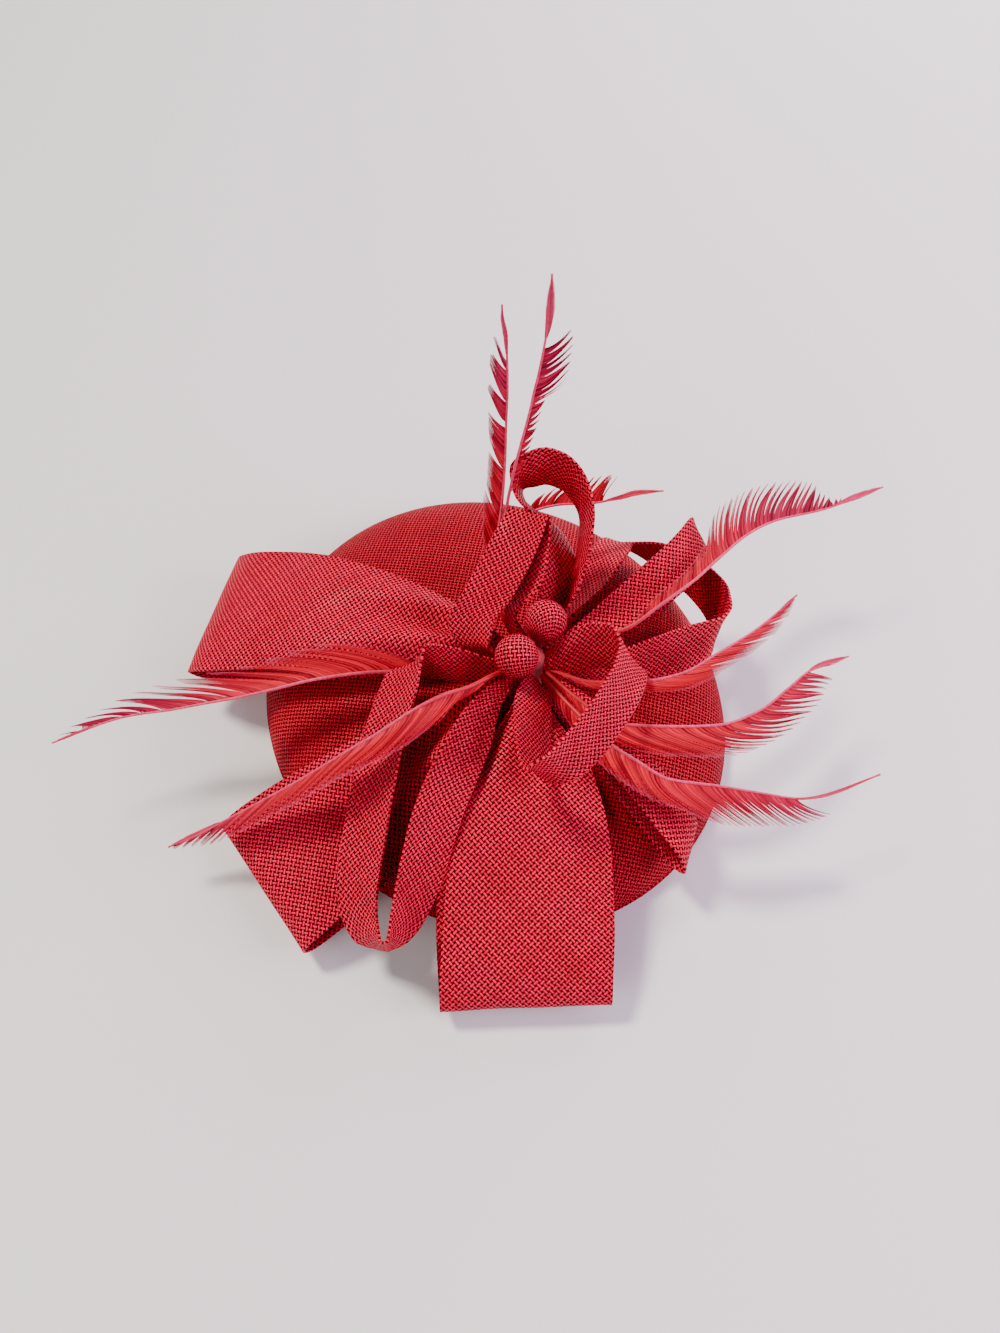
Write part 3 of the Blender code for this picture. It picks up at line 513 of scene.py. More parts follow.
def ribbonLoop(name, spec):
    rows, centre, places = evenRows(spec, ribbon["step"])
    width, turn, tilt, pleat = rows[:, 3:].T
    across = acrossOf(turn, tilt)
    face = unit(np.cross(np.gradient(centre, axis=0), across))
    columns = max(4, round(spec["ribbon"] / ribbon["step"] / 2) * 2)
    outward = np.sign(((centre - centre.mean(axis=0)) * face).sum())
    cup = 0 if spec["draped"] else outward * ribbon["cup"]  # edges curl a little out of the loop
    lift = restHeight(centre[:, 0], centre[:, 1])
    points, uvs = [], []
    for v in np.linspace(-1, 1, columns + 1):
        half = width * spec["ribbon"] / 2
        edge = centre + v * half[:, None] * across
        if spec["draped"]:
            edge[:, 2] += restHeight(edge[:, 0], edge[:, 1]) - lift
        fold = np.clip(pleat, 0, None) * spec["ribbon"] * math.cos(2 * math.pi * v)
        crumple = ribbon["crumple"] * width * (
            np.sin(places * 190 + v * 2.1) * np.sin(v * 4.3 + places * 70)
            + 0.6 * np.sin(places * 410 - v * 5.0)
        )
        bowed = cup * spec["ribbon"] * width * (v**2 - 0.4)
        points.append(edge + (fold + crumple + bowed)[:, None] * face)
        uvs.append(np.stack([v * half, places], axis=1))
    obj = gridOf(np.stack(points, axis=1), np.stack(uvs, axis=1))
    wall = obj.modifiers.new("wall", "SOLIDIFY")
    wall.thickness = ribbon["thickness"]
    wall.offset = 0
    bpy.ops.object.modifier_apply(modifier=wall.name)
    bpy.ops.object.shade_smooth_by_angle(angle=math.radians(50))
    settle(obj, name, ribbonCloth, spec["node"])


for loopName, loopSpec in loops.items():
    ribbonLoop(loopName, loopSpec)
print("ribbon loops made:", len(loops))


# Feathers: a tapering quill with barbs that lie over each other like thin blades

quill = {"step": 0.0015, "root": 0.0011, "tip": 0.00032, "taper": 0.35, "sides": 8}
barb = {
    "apart": 0.00017, "apartRange": (0.8, 1.2), "width": 0.00044, "tipWidth": 0.00007, "ridge": 0.00012,
    "sections": 8, "bow": 0.0006, "stray": 0.00012, "ragged": 0.03, "overhang": 0.0004, "shortest": 0.0012,
    "endGap": 0.001, "lieShift": 0.55, "lieSpan": 0.2, "tone": 0.22, "toneSpread": 0.55, "streak": 0.26,
    "bladeLie": math.radians(9), "bladeUntil": 0.99, "bladeBack": 0.7, "bladeExtra": 0.5,
    "clumpFrom": 0.25, "clumpSpan": 0.4, "clumpLeast": 0.25,  # clumps show more towards the tip
    "wander": 0.35, "wanderRate": 1.9, "streakRates": (2300, 1370),
}
# The "tip" colour is partly a painted highlight on the lit ends of the barbs.
barbLook = {
    "bright": (0.86, 0.004, 0.032), "brightFar": (0.60, 0.009, 0.074), "farFrom": (0.075, 0.120),
    "dark": (0.03, 0.0001, 0.0012), "tip": (0.80, 0.10, 0.22), "tipFrom": (0.80, 1.0), "tipMost": 0.5,
    "gloss": 0.18, "shine": (1.0, 0.40, 0.50),
}
quillLook = {
    "root": (0.50, 0.004, 0.018), "low": (0.52, 0.020, 0.075), "high": (0.70, 0.050, 0.140),
    "pinkFrom": (0.12, 0.45), "grain": 900.0, "gloss": 0.3,
}
firstSeed = 3

# Each row of a feather: right, back and height as shares of its reach and rise, the vane's share of its
# width, and the turn and tilt of the vane in degrees
feathers = {
    "feather_tall_left_barbs": {
        "node": "feather_tall_left",
        "lie": (28, 30), "clump": 0.012, "pull": 0.45, "spiky": 0.1, "until": 0.86,
        "blade": (0.87, 0.0009), "gaps": ((0.67, 0.685),),
        "reach": 0.075, "rise": 0.1, "vaneWidth": 0.008,
        "rows": [
            (-0.032, 0.068, 0.083, 0, 180, 0),
            (-0.13, 0.26, 0.14, 0, 180, 0),
            (-0.15, 0.38, 0.22, 0.3, 180, 0),
            (-0.123, 0.559, 0.347, 0.7, 180, 0),
            (-0.107, 0.662, 0.5, 0.62, 180, 0),
            (-0.102, 0.741, 0.64, 0.64, 180, 0),
            (-0.098, 0.778, 0.718, 0.7, 180, 0),
            (-0.098, 0.789, 0.755, 0.66, 180, 0),
            (-0.101, 0.831, 0.84, 0.55, 180, 0),
            (-0.105, 0.861, 0.89, 0.06, 180, 0),
            (-0.118, 0.896, 0.94, 0.06, 180, 0),
            (-0.12, 0.91, 0.975, 0, 180, 0),
        ],
    },
    "feather_tall_right_barbs": {
        "node": "feather_tall_right",
        "lie": (30, 42), "clump": 0.0026, "pull": 0.75, "spiky": 0.08, "until": 0.835,
        "blade": (0.85, 0.0016), "gaps": (),
        "reach": 0.075, "rise": 0.105, "vaneWidth": 0.011,
        "rows": [
            (0.02, 0.072, 0.08, 0, 0, 0),
            (-0.09, 0.27, 0.145, 0, 0, 0),
            (-0.1, 0.45, 0.23, 0, 0, 0),
            (-0.098, 0.56, 0.34, 0, 0, 0),
            (-0.079, 0.588, 0.444, 0.1, 0, 0),
            (-0.06, 0.617, 0.517, 0.2, 0, 0),
            (-0.012, 0.709, 0.65, 0.27, 0, 0),
            (0.006, 0.755, 0.71, 0.32, 0, 0),
            (0.018, 0.776, 0.747, 0.73, 0, 0),
            (0.041, 0.828, 0.843, 0.71, 0, 0),
            (0.05, 0.851, 0.89, 0.6, 0, 0),
            (0.053, 0.863, 0.92, 0.15, 0, 0),
            (0.057, 0.894, 0.99, 0.15, 0, 0),
            (0.06, 0.924, 1.035, 0, 0, 0),
        ],
    },
    "feather_back_barbs": {
        "node": "feather_back",
        "lie": (38, 44), "clump": 0.0034, "pull": 0.6, "spiky": 0.1, "until": 0.8,
        "blade": (0.8, 0.0012), "gaps": (),
        "reach": 0.075, "rise": 0.03, "vaneWidth": 0.01,
        "rows": [
            (-0.002, 0.075, 0.16, 0, 90, 30),
            (-0.1, 0.33, 0.37, 0, 120, 30),
            (-0.075, 0.58, 0.62, 0, 110, 40),
            (0, 0.685, 0.78, 0.2, 100, 40),
            (0.12, 0.703, 0.9, 0.5, 90, 40),
            (0.277, 0.693, 1.02, 0.8, 85, 40),
            (0.4, 0.705, 1.17, 0.75, 90, 40),
            (0.452, 0.716, 1.25, 0.1, 90, 40),
            (0.578, 0.713, 1.41, 0, 90, 40),
        ],
    },
    "feather_right_back_barbs": {
        "node": "feather_right_back",
        "lie": (42, 50), "clump": 0.0026, "pull": 0.8, "spiky": 0.1, "until": 0.87,
        "blade": (0.845, 0.0014), "gaps": (),
        "reach": 0.14, "rise": 0.025, "vaneWidth": 0.013,
        "rows": [
            (0.036, 0.017, 0.45, 0, 120, 20),
            (0.11, 0.045, 0.6, 0, 120, 20),
            (0.2, 0.055, 0.78, 0, 125, 20),
            (0.29, 0.11, 1.02, 0.2, 125, 20),
            (0.37, 0.175, 1.22, 0.3, 130, 20),
            (0.435, 0.245, 1.35, 0.5, 130, 20),
            (0.515, 0.325, 1.52, 1, 120, 20),
            (0.59, 0.373, 1.6, 1, 105, 20),
            (0.7, 0.405, 1.62, 0.8, 100, 20),
            (0.74, 0.42, 1.62, 0.15, 110, 20),
            (0.875, 0.49, 1.55, 0, 110, 20),
        ],
    },
    "feather_right_upper_barbs": {
        "node": "feather_right_upper",
        "lie": (18, 20), "clump": 0.02, "pull": 0.12, "spiky": 0.02, "until": 1,
        "blade": (0.9, 0.0006), "gaps": (),
        "reach": 0.09, "rise": 0.02, "vaneWidth": 0.006,
        "rows": [
            (0.06, -0.022, 0.52, 0, -90, 0),
            (0.22, -0.08, 0.62, 0.35, -90, 0),
            (0.398, -0.087, 0.844, 0.6, -80, 0),
            (0.507, -0.068, 1.035, 0.9, -70, 0),
            (0.635, 0.009, 1.249, 0.95, -62, 0),
            (0.8, 0.124, 1.53, 0.8, -55, 0),
            (0.967, 0.282, 1.731, 0, -50, 0),
        ],
    },
    "feather_right_middle_barbs": {
        "node": "feather_right_middle",
        "lie": (22, 36), "clump": 0.004, "pull": 0.7, "spiky": 0.08, "until": 0.87,
        "blade": (0.86, 0.0014), "gaps": (),
        "reach": 0.11, "rise": 0.02, "vaneWidth": 0.01,
        "rows": [
            (0.043, -0.031, 0.54, 0, -90, 0),
            (0.14, -0.13, 0.64, 0.25, -90, 0),
            (0.23, -0.2, 0.76, 0.55, -90, -10),
            (0.36, -0.212, 0.95, 0.9, -90, -10),
            (0.51, -0.196, 1.1, 1, -90, -10),
            (0.64, -0.14, 1.25, 1, -80, -10),
            (0.73, -0.065, 1.35, 1, -65, -10),
            (0.82, 0.01, 1.45, 0.7, -60, -10),
            (0.93, 0.053, 1.5, 0, -60, -10),
        ],
    },
    "feather_right_lower_barbs": {
        "node": "feather_right_lower",
        "lie": (32, 32), "clump": 0.0024, "pull": 0.6, "spiky": 0.06, "until": 0.77,
        "blade": (0.74, 0.0007), "gaps": (),
        "reach": 0.11, "rise": 0.02, "vaneWidth": 0.011,
        "rows": [
            (0.032, -0.043, 0.56, 0, -110, 0),
            (0.1, -0.14, 0.68, 0.25, -120, 0),
            (0.2, -0.26, 0.86, 0.55, -120, -10),
            (0.28, -0.322, 1, 0.7, -115, -10),
            (0.37, -0.364, 1.06, 0.7, -110, -10),
            (0.5, -0.372, 1.18, 1, -100, -10),
            (0.62, -0.38, 1.25, 0.9, -90, -10),
            (0.72, -0.386, 1.3, 0.7, -80, -10),
            (0.8, -0.37, 1.3, 0.5, -75, -10),
            (0.96, -0.312, 1.4, 0, -70, -10),
        ],
    },
    "feather_left_barbs": {
        "node": "feather_left",
        "lie": (20, 13), "clump": 0.009, "pull": 0.85, "spiky": 0.2, "until": 0.95,
        "blade": (0.9, 0.0004), "gaps": (),
        "reach": 0.15, "rise": 0.02, "vaneWidth": 0.012,
        "rows": [
            (-0.036, 0, 0.52, 0, 95, 0),
            (-0.1, -0.012, 0.48, 0, 95, 0),
            (-0.2, -0.018, 0.46, 0, 95, 25),
            (-0.3, -0.022, 0.62, 0.7, 95, 25),
            (-0.435, -0.043, 0.9, 0.9, 95, 20),
            (-0.59, -0.066, 1.15, 0.8, 95, 10),
            (-0.735, -0.084, 1.38, 0.8, 95, 10),
            (-0.85, -0.102, 1.42, 0.5, 95, 10),
            (-0.99, -0.153, 1.32, 0, 100, 10),
        ],
    },
    "feather_left_front_barbs": {
        "node": "feather_left_front",
        "lie": (22, 18), "clump": 0.006, "pull": 0.45, "spiky": 0.05, "until": 1,
        "blade": (0.86, 0.0012), "gaps": (),
        "reach": 0.12, "rise": 0.025, "vaneWidth": 0.009,
        "rows": [
            (-0.037, -0.026, 0.455, 0, -110, 0),
            (-0.086, -0.064, 0.71, 0, -110, 0),
            (-0.155, -0.118, 0.86, 0.2, -115, -10),
            (-0.225, -0.163, 1.05, 0.5, -120, -10),
            (-0.275, -0.192, 1.08, 0.8, -120, -10),
            (-0.395, -0.26, 1.05, 1, -120, -10),
            (-0.57, -0.318, 0.86, 0.9, -115, -10),
            (-0.78, -0.375, 0.62, 0.7, -110, -10),
            (-0.93, -0.432, 0.5, 0, -110, -10),
        ],
    },
}


def tubeFaces(start, rings, sides):
    faces = []
    for i in range(rings - 1):
        for j in range(sides):
            a, b = start + i * sides + j, start + i * sides + (j + 1) % sides
            faces.append((a, b, b + sides, a + sides))
    faces.append(tuple(range(start, start + sides))[::-1])
    last = start + (rings - 1) * sides
    faces.append(tuple(range(last, last + sides)))
    return faces


def clumpMiddle(start, clumpLength):  # the place on the quill that a barb's clump gathers at
    along = start / clumpLength
    return (math.floor(along + barb["wander"] * math.sin(barb["wanderRate"] * along)) + 0.5) * clumpLength


def quillTube(centre, across, face, places):
    points, shades = [], []
    share = places / places[-1]
    thick = quill["root"] + (quill["tip"] - quill["root"]) * share ** quill["taper"]
    for i in range(len(places)):
        for j in range(quill["sides"]):
            angle = 2 * math.pi * j / quill["sides"]
            points.append(centre[i] + thick[i] * (math.cos(angle) * across[i] + math.sin(angle) * face[i]))
            shades.append((share[i], 0.5))
    return points, tubeFaces(0, len(places), quill["sides"]), shades


def featherPiece(name, spec, seed):
    chance = np.random.default_rng(seed)
    rows, centre, places = evenRows(spec, quill["step"])
    vane, turn, tilt = rows[:, 3:].T
    length = places[-1]
    across = acrossOf(turn, tilt)
    along = unit(np.gradient(centre, axis=0))
    across = unit(across - (across * along).sum(axis=1)[:, None] * along)
    face = np.cross(along, across)
    face *= np.sign(face[:, 2].sum())

    def onLine(table, where):
        return np.stack([np.interp(where, places, column) for column in table.T], axis=1)

    points, faces, shades = quillTube(centre, across, face, places)
    slots = [1] * len(faces)
    t = np.linspace(0, 1, barb["sections"])
    bladeFrom, bladeWidth = spec["blade"]
    bladeShare = np.clip((places / length - bladeFrom) / (1 - bladeFrom), 0, 1)
    lens = bladeWidth * np.sin(math.pi * bladeShare) ** 0.8
    vane = np.clip(vane, 0, None) * spec["vaneWidth"]
    lieRange = (barb["lieShift"] - barb["lieSpan"], barb["lieShift"] + barb["lieSpan"])
    # The side, how far barbs reach, where they start and end, and whether they lie close as the tip's blade
    for side, reach, first, last, close in (
        (1, vane, 0.0, spec["until"], 0),
        (1, lens, bladeFrom, barb["bladeUntil"], 1),
        (-1, lens * barb["bladeBack"], bladeFrom, barb["bladeUntil"], 1),
    ):
        start, lie = length * first, math.radians(spec["lie"][0])
        while start < length * last - barb["endGap"]:
            start += barb["apart"] / math.sin(lie) * chance.uniform(*barb["apartRange"])
            share = start / length
            lie = barb["bladeLie"] if close else math.radians(np.interp(share, lieRange, spec["lie"]))
            if not close and any(low < share < high for low, high in spec["gaps"]):
                continue
            run = 0.0
            for _ in range(12):  # how far along the quill the barb gets before it meets the vane's edge
                run = (run + np.interp(min(start + run, length), places, reach) / math.tan(lie)) / 2
            if run < barb["shortest"]:
                continue
            tip = np.interp(min(start + run, length), places, reach) + barb["overhang"] * (1 - close)
            middle = clumpMiddle(start, spec["clump"])
            outward = min(max((share - barb["clumpFrom"]) / barb["clumpSpan"], barb["clumpLeast"]), 1)
            pull = spec["pull"] * (middle - start) * (1 - close) * outward
            fromMiddle = min(abs(middle - start) / spec["clump"], 1)
            ragged = 1 - abs(chance.normal(0, barb["ragged"])) - spec["spiky"] * (1 - close) * fromMiddle
            where = np.clip(start + run * t ** 1.2 * ragged + pull * t ** 1.3, 0, length)
            aside = tip * ragged * (t ** 0.85)
            up = onLine(face, where)
            spine = onLine(centre, where) + side * aside[:, None] * onLine(across, where)
            lift = barb["bow"] * np.sin(t * math.pi * 0.8) + chance.uniform(-barb["stray"], barb["stray"]) * t
            spine += lift[:, None] * up
            flat = unit(np.cross(unit(np.gradient(spine, axis=0)), up))
            wide = barb["width"] * (1 + barb["bladeExtra"] * close)
            half = (barb["tipWidth"] + (wide - barb["tipWidth"]) * (1 - t) ** 1.4)[:, None] / 2
            streak = math.prod(math.sin(start * rate) for rate in barb["streakRates"])
            tone = barb["toneSpread"] * chance.uniform() + barb["tone"] + barb["streak"] * streak
            tone = min(max(tone, 0), 1) * (1 - 0.5 * close)
            made = tubeFaces(len(points), barb["sections"], 3)
            for i in range(barb["sections"]):
                ridge = spine[i] + barb["ridge"] * (1 - 0.6 * t[i]) * up[i]
                points += [spine[i] - half[i] * flat[i], spine[i] + half[i] * flat[i], ridge]
                shades += [(max(t[i], 0.9 * close), tone)] * 3
            faces += made
            slots += [0] * len(made)
    mesh = bpy.data.meshes.new(name)
    mesh.from_pydata([tuple(p) for p in points], [], faces)
    layer = mesh.uv_layers.new(name="barbs")  # how far along its barb a point is, and the barb's tone
    layer.data.foreach_set("uv", np.array(shades)[cornersOf(mesh)].ravel())
    obj = bpy.data.objects.new(name, mesh)
    bpy.context.collection.objects.link(obj)
    deselect()
    obj.select_set(True)
    bpy.context.view_layer.objects.active = obj
    settle(obj, name, barbRed, spec["node"])
    obj.data.materials.append(quillPink)
    mesh.polygons.foreach_set("material_index", slots)
    closeSurface(smoothUnder=60, merge=False)


def barbMaterial():
    graph = Graph("feather_barbs")
    uv = graph.add("ShaderNodeUVMap", {"uv_map": "barbs"}, {})
    t = graph.add("ShaderNodeSeparateXYZ", {}, {0: uv}, 0)
    tone = graph.add("ShaderNodeSeparateXYZ", {}, {0: uv}, 1)
    place = graph.add("ShaderNodeTexCoord", {}, {}, 3)
    away = graph.add("ShaderNodeVectorMath", {"operation": "LENGTH"}, {0: place}, 1)
    bright = graph.mix(away.rises(*barbLook["farFrom"]), barbLook["bright"], barbLook["brightFar"])
    red = graph.mix(tone, bright, barbLook["dark"])
    # Paler pink towards the barb tips: partly a painted highlight on their lit edges, partly the pinker
    # colour of the tip blades, which always get some of it.
    tipped = graph.mix(t.rises(*barbLook["tipFrom"]) * barbLook["tipMost"], red, barbLook["tip"])
    return graph.finish(
        Base_Color=tipped, Roughness=tone * 0.15 + 0.38,
        Specular_IOR_Level=barbLook["gloss"], Specular_Tint=barbLook["shine"],
    )


def quillMaterial():
    graph = Graph("feather_quill")
    place = graph.add("ShaderNodeTexCoord", {}, {}, 3)
    uv = graph.add("ShaderNodeUVMap", {"uv_map": "barbs"}, {})
    t = graph.add("ShaderNodeSeparateXYZ", {}, {0: uv}, 0)
    grain = graph.add("ShaderNodeTexNoise", {}, {"Vector": place, "Scale": quillLook["grain"], "Detail": 2.0})
    pink = graph.mix(grain.rises(0.3, 0.7), quillLook["low"], quillLook["high"])
    tone = graph.mix(t.rises(*quillLook["pinkFrom"]), quillLook["root"], pink)
    return graph.finish(Base_Color=tone, Roughness=grain * 0.2 + 0.3, Specular_IOR_Level=quillLook["gloss"])


barbRed = barbMaterial()
quillPink = quillMaterial()
for index, (featherName, featherSpec) in enumerate(feathers.items()):
    featherPiece(featherName, featherSpec, seed=index + firstSeed)
print("feathers made:", len(feathers))


# Base: stiffened woven crown with a rolled rim and a narrow lip turned in

base = {
    "sides": 180, "steps": 44, "wall": 0.0018, "lip": 0.004, "lipDepth": 0.0016,
    "rimRoll": 0.0011, "rimProud": 0.00035, "rollFrom": math.radians(80), "rollTo": math.radians(-90),
    "rollSteps": 12, "lipClear": 0.0004, "lipInset": 0.0006,
}


def wovenBase():
    radius, narrow = crown["length"] / 2, crown["width"] / crown["length"]
    angles = np.linspace(math.pi / 2, 0.0, base["steps"])
    share = np.cos(angles) ** (2 / crown["breadthPower"])
    outside = [(radius * s, float(dome(s))) for s in share]
    outside = [(r, z) for r, z in outside if z > 2 * base["rimRoll"]]
    roll = [
        (radius - base["rimRoll"] + (base["rimRoll"] + base["rimProud"]) * math.cos(a),
         base["rimRoll"] * (1 + math.sin(a)))
        for a in np.linspace(base["rollFrom"], base["rollTo"], base["rollSteps"])
    ]
    scale = (radius - base["wall"]) / radius
    aboveLip = base["lipDepth"] + base["lipClear"]
    inside = [(r * scale, z - base["wall"]) for r, z in outside if z - base["wall"] > aboveLip]
    lip = [
        (radius - base["lip"], 0.0), (radius - base["lip"], base["lipDepth"]),
        (radius * scale - base["lipInset"], base["lipDepth"]),
    ]
    profile = outside + roll + lip + inside[::-1]
    profile = np.array([(max(r, 0.0), z) for r, z in profile])
    run = np.concatenate([[0], np.cumsum(np.linalg.norm(np.diff(profile, axis=0), axis=1))])
    under = len(outside) + len(roll)  # from here on the weave follows the one outside it
    run[under:] = np.interp(profile[under:, 0], profile[:under, 0], run[:under])
    turn = np.linspace(0, 2 * math.pi, base["sides"] + 1)
    spun = np.stack([
        profile[:, None, 0] * np.cos(turn), profile[:, None, 0] * np.sin(turn) * narrow,
        np.repeat(profile[:, None, 1], len(turn), axis=1),
    ], axis=2)
    uvs = np.stack([run[:, None] * np.cos(turn), run[:, None] * np.sin(turn) * narrow], axis=2)
    cosine, sine = math.cos(crown["turn"]), math.sin(crown["turn"])
    points = np.stack([cosine * spun[..., 0] - sine * spun[..., 1],
                       sine * spun[..., 0] + cosine * spun[..., 1], spun[..., 2]], axis=2)
    obj = gridOf(points, uvs)
    closeSurface(smoothUnder=50)
    settle(obj, "woven_base", baseCloth, "base_shell")


wovenBase()
print("base made")


# Binding wound with thread, and the two covered balls on their wires

binding = {
    "radius": 0.0042, "height": 0.0145, "gap": 0.00035, "thread": 0.0008, "sides": 56, "waist": 0.0004,
    "relief": 0.0002, "rowsPerThread": 8, "endWidth": 0.86, "endSoftness": 30,
}
balls = {
    "ball_front": {"right": -0.34, "back": -0.344, "above": 0.614},
    "ball_back": {"right": 0.335, "back": 0.652, "above": 0.489},
}
ball = {
    "diameter": 0.0135, "sides": 72, "rings": 48, "wire": 0.0009, "spread": 0.4,
    "pleats": 14, "pleat": 0.00035, "tuckFrom": 2.2, "tuckSpan": 0.9, "inset": 0.0001,
    "wireTop": 0.93, "wireCloth": (0.1, 0.3, 0.4),
}
threadLook = {"low": (0.34, 0.008, 0.025), "high": (0.60, 0.03, 0.06), "ply": 2600.0, "relief": 0.0001}
bindingFoot = float(dome(ovalShare(gather["x"], gather["y"]))) + binding["gap"]


def threadMaterial():
    graph = Graph("sewing_thread")
    place = graph.add("ShaderNodeTexCoord", {}, {}, 3)
    ply = graph.add("ShaderNodeTexNoise", {}, {"Vector": place, "Scale": threadLook["ply"], "Detail": 2.0})
    tone = graph.mix(ply.rises(0.3, 0.7), threadLook["low"], threadLook["high"])
    bump = graph.add("ShaderNodeBump", {}, {"Strength": 0.5, "Distance": threadLook["relief"], "Height": ply})
    return graph.finish(Base_Color=tone, Roughness=0.55, Normal=bump, Sheen_Weight=0.2)


threadRed = threadMaterial()


def boundThread():
    rows = round(binding["height"] / binding["thread"] * binding["rowsPerThread"])
    share = np.linspace(0, 1, rows + 1)
    turn = np.linspace(0, 2 * math.pi, binding["sides"] + 1)
    threads = share[:, None] * binding["height"] / binding["thread"] - turn / (2 * math.pi)
    wound = binding["relief"] * (np.abs(np.sin(math.pi * threads)) - 0.5)
    radius = binding["radius"] - binding["waist"] * np.sin(math.pi * share)[:, None] + wound
    ends = np.clip(np.minimum(share, 1 - share) * binding["endSoftness"], 0, 1)[:, None] ** 0.5
    radius = radius * (binding["endWidth"] + (1 - binding["endWidth"]) * ends)
    points = np.stack([
        gather["x"] + radius * np.cos(turn), gather["y"] + radius * np.sin(turn),
        bindingFoot + np.repeat(share[:, None] * binding["height"], len(turn), axis=1),
    ], axis=2)
    caps = points[[0, -1]]
    caps[..., :2] = gather["x"], gather["y"]
    points = np.concatenate([caps[:1], points, caps[1:]])
    obj = gridOf(points, points[..., [0, 2]])
    closeSurface(smoothUnder=60)
    settle(obj, "bound_thread", threadRed, "centre_binding")


def coveredBall(name, spec):
    top = Vector((gather["x"], gather["y"], bindingFoot + binding["height"]))
    middle = top + ball["diameter"] * Vector((spec["right"], spec["back"], spec["above"]))
    foot = top + (middle - top) * Vector((ball["spread"], ball["spread"], 0))
    lean = (middle - foot).normalized()
    foot.z += binding["gap"] + ball["wire"] * math.hypot(lean.x, lean.y)
    facing = lean.to_track_quat("Z", "Y").to_matrix()
    radius = ball["diameter"] / 2
    down = np.linspace(0, math.pi, ball["rings"] + 1)
    turn = np.linspace(0, 2 * math.pi, ball["sides"] + 1)
    tuck = np.clip((down - ball["tuckFrom"]) / ball["tuckSpan"], 0, 1)[:, None]  # the cloth is drawn in below
    size = radius - ball["inset"] + ball["pleat"] * tuck * (np.cos(ball["pleats"] * turn) - 1)
    local = np.stack([
        size * np.sin(down)[:, None] * np.cos(turn), size * np.sin(down)[:, None] * np.sin(turn),
        size * np.cos(down)[:, None],
    ], axis=2)
    neck = -(middle - foot).length
    stem = np.array([[ball["wire"], -radius * ball["wireTop"]], [ball["wire"], neck], [0.0, neck]])
    local = np.concatenate([local[:-1], np.stack([
        stem[:, None, 0] * np.cos(turn), stem[:, None, 0] * np.sin(turn),
        np.repeat(stem[:, None, 1], len(turn), axis=1),
    ], axis=2)])
    places = local @ np.array(facing).T + np.array(middle)
    run = np.concatenate([down[:-1] * radius, radius * (math.pi + np.array(ball["wireCloth"]))])
    uvs = np.stack([run[:, None] * np.cos(turn), run[:, None] * np.sin(turn)], axis=2)
    obj = gridOf(places, uvs)
    closeSurface(smoothUnder=60)
    settle(obj, "cloth_" + name, ballCloth, name)


boundThread()
for ballName, ballSpec in balls.items():
    coveredBall(ballName, ballSpec)
print("binding and balls made")


# Hair clip: the frame's own strip in brushed steel

steelLook = {"low": (0.42, 0.42, 0.44), "high": (0.62, 0.62, 0.64), "brush": (60, 3000, 3000)}


def steelMaterial():
    graph = Graph("clip_steel")
    place = graph.add("ShaderNodeTexCoord", {}, {}, 3)
    stretched = graph.add(
        "ShaderNodeMapping", {},
        {"Vector": place, "Rotation": (0, 0, -crown["turn"]), "Scale": steelLook["brush"]},
    )
    brushed = graph.add("ShaderNodeTexNoise", {}, {"Vector": stretched, "Scale": 1.0, "Detail": 3.0})
    tone = graph.mix(brushed, steelLook["low"], steelLook["high"])
    return graph.finish(Base_Color=tone, Metallic=1.0, Roughness=brushed * 0.25 + 0.22)


clip = bpy.data.objects["hair_clip"]
clip.data.materials.clear()
clip.data.materials.append(steelMaterial())
print("clip dressed")


# Pale floor, soft light and the camera

studio = {
    "floor": (0.80, 0.79, 0.77), "floorSize": 40, "sky": (0.15, 0.165, 0.19), "horizon": (0.66, 0.66, 0.67),
    "bandTop": 0.36, "cloud": 0.97, "roughness": 0.85,
}
sun = {"from": (-0.55, 0.45, 0.95), "angle": math.radians(12), "strength": 4.2, "colour": (1.0, 0.92, 0.82)}
lamps = {
    "fill": {"at": (0.80, -0.20, 0.50), "size": 0.5, "power": 10.5, "colour": (0.92, 0.68, 1.0)},
    "front": {"at": (-0.55, -0.60, 0.50), "size": 0.6, "power": 4, "colour": (1.0, 0.90, 0.90)},
    "back": {"at": (0.45, 0.75, 0.45), "size": 0.6, "power": 8, "colour": (0.94, 0.80, 1.0)},
}
view = {
    "at": (0.002446, -0.164315, 0.309032), "lean": math.radians(29.745), "lens": 27.03, "sensor": 36,
    "clip": (0.01, 20),
}


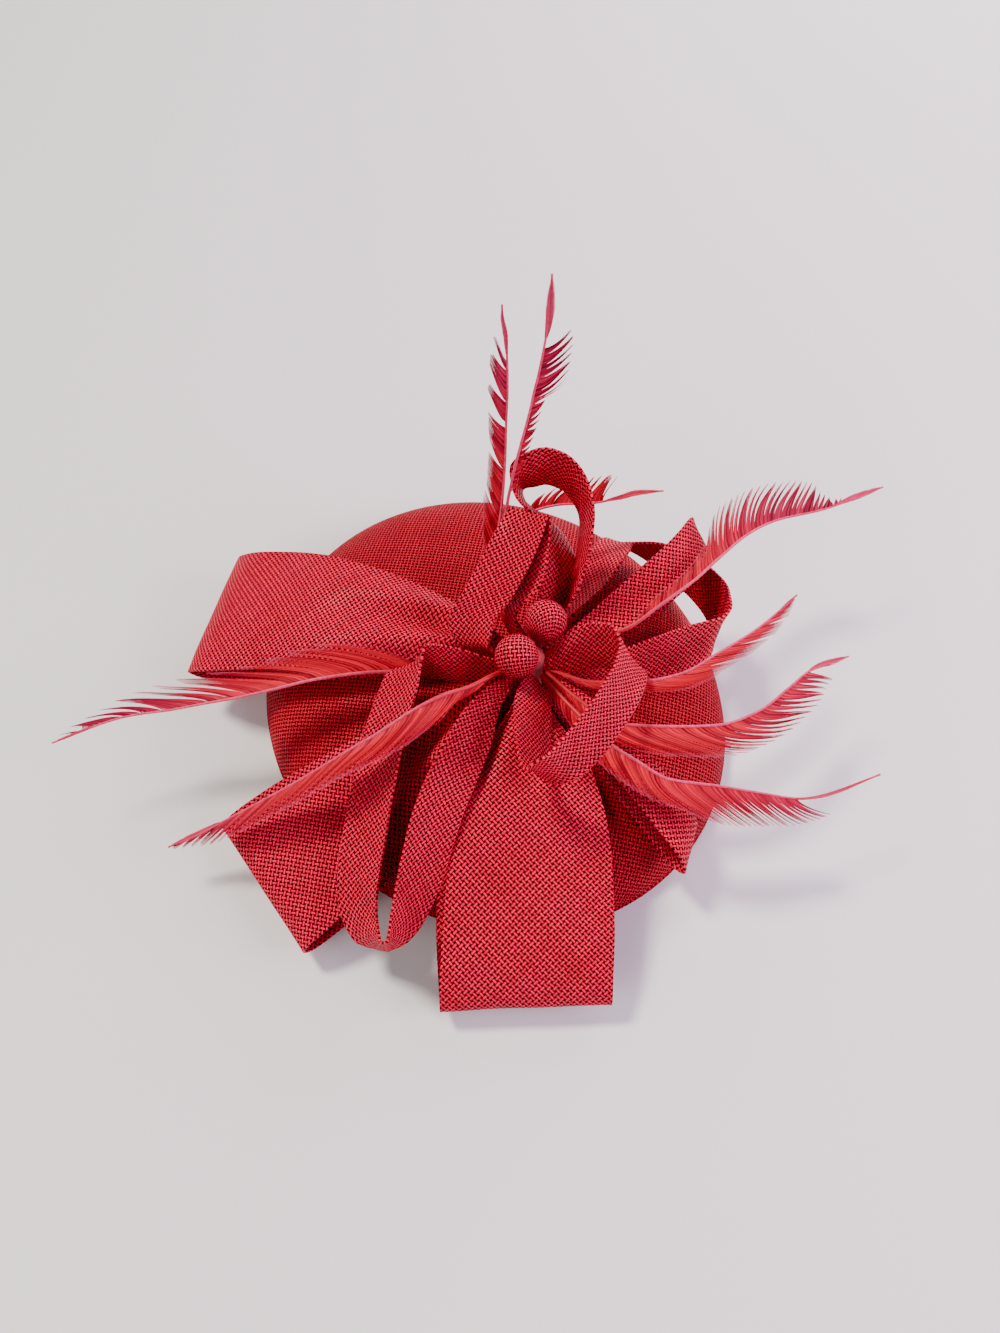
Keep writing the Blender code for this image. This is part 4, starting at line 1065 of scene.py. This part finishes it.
def paleFloor():
    deselect()
    bpy.ops.mesh.primitive_plane_add(size=studio["floorSize"])
    floor = bpy.context.object
    floor.name = "floor"
    graph = Graph("floor")
    place = graph.add("ShaderNodeTexCoord", {}, {}, 3)
    cloud = graph.add("ShaderNodeTexNoise", {}, {"Vector": place, "Scale": 4.0})
    dark = tuple(studio["cloud"] * c for c in studio["floor"])
    floor.data.materials.append(
        graph.finish(Base_Color=graph.mix(cloud, dark, studio["floor"]), Roughness=studio["roughness"])
    )


def softLamps():
    for name, spec in lamps.items():
        light = bpy.data.lights.new(name, "AREA")
        light.shape = "DISK"
        light.size, light.energy, light.color = spec["size"], spec["power"], spec["colour"]
        lamp = bpy.data.objects.new(name, light)
        lamp.location = spec["at"]
        lamp.rotation_euler = (-Vector(spec["at"])).to_track_quat("-Z", "Y").to_euler()
        bpy.context.collection.objects.link(lamp)
    sunlight = bpy.data.lights.new("key", "SUN")
    sunlight.angle, sunlight.energy, sunlight.color = sun["angle"], sun["strength"], sun["colour"]
    key = bpy.data.objects.new("key", sunlight)
    key.rotation_euler = (-Vector(sun["from"])).to_track_quat("-Z", "Y").to_euler()
    bpy.context.collection.objects.link(key)


def paleSky():
    # A pale band round the horizon under a dimmer sky
    world = bpy.data.worlds.new("studio")
    world.use_nodes = True
    nodes, links = world.node_tree.nodes, world.node_tree.links
    place = nodes.new("ShaderNodeTexCoord")
    split = nodes.new("ShaderNodeSeparateXYZ")
    band = nodes.new("ShaderNodeMapRange")
    band.interpolation_type = "SMOOTHSTEP"
    band.inputs["From Min"].default_value = 0.0
    band.inputs["From Max"].default_value = studio["bandTop"]
    blend = nodes.new("ShaderNodeMix")
    blend.data_type = "RGBA"
    blend.inputs[6].default_value = (*studio["horizon"], 1)
    blend.inputs[7].default_value = (*studio["sky"], 1)
    links.new(place.outputs["Generated"], split.inputs[0])
    links.new(split.outputs[2], band.inputs["Value"])
    links.new(band.outputs[0], blend.inputs[0])
    links.new(blend.outputs[2], nodes["Background"].inputs["Color"])
    bpy.context.scene.world = world


def camera():
    lens = bpy.data.cameras.new("camera")
    lens.sensor_width, lens.lens = view["sensor"], view["lens"]
    lens.clip_start, lens.clip_end = view["clip"]
    eye = bpy.data.objects.new("camera", lens)
    eye.location = view["at"]
    eye.rotation_euler = (view["lean"], 0, 0)
    bpy.context.collection.objects.link(eye)
    bpy.context.scene.camera = eye


paleFloor()
softLamps()
paleSky()
camera()
print("floor, light and camera placed")
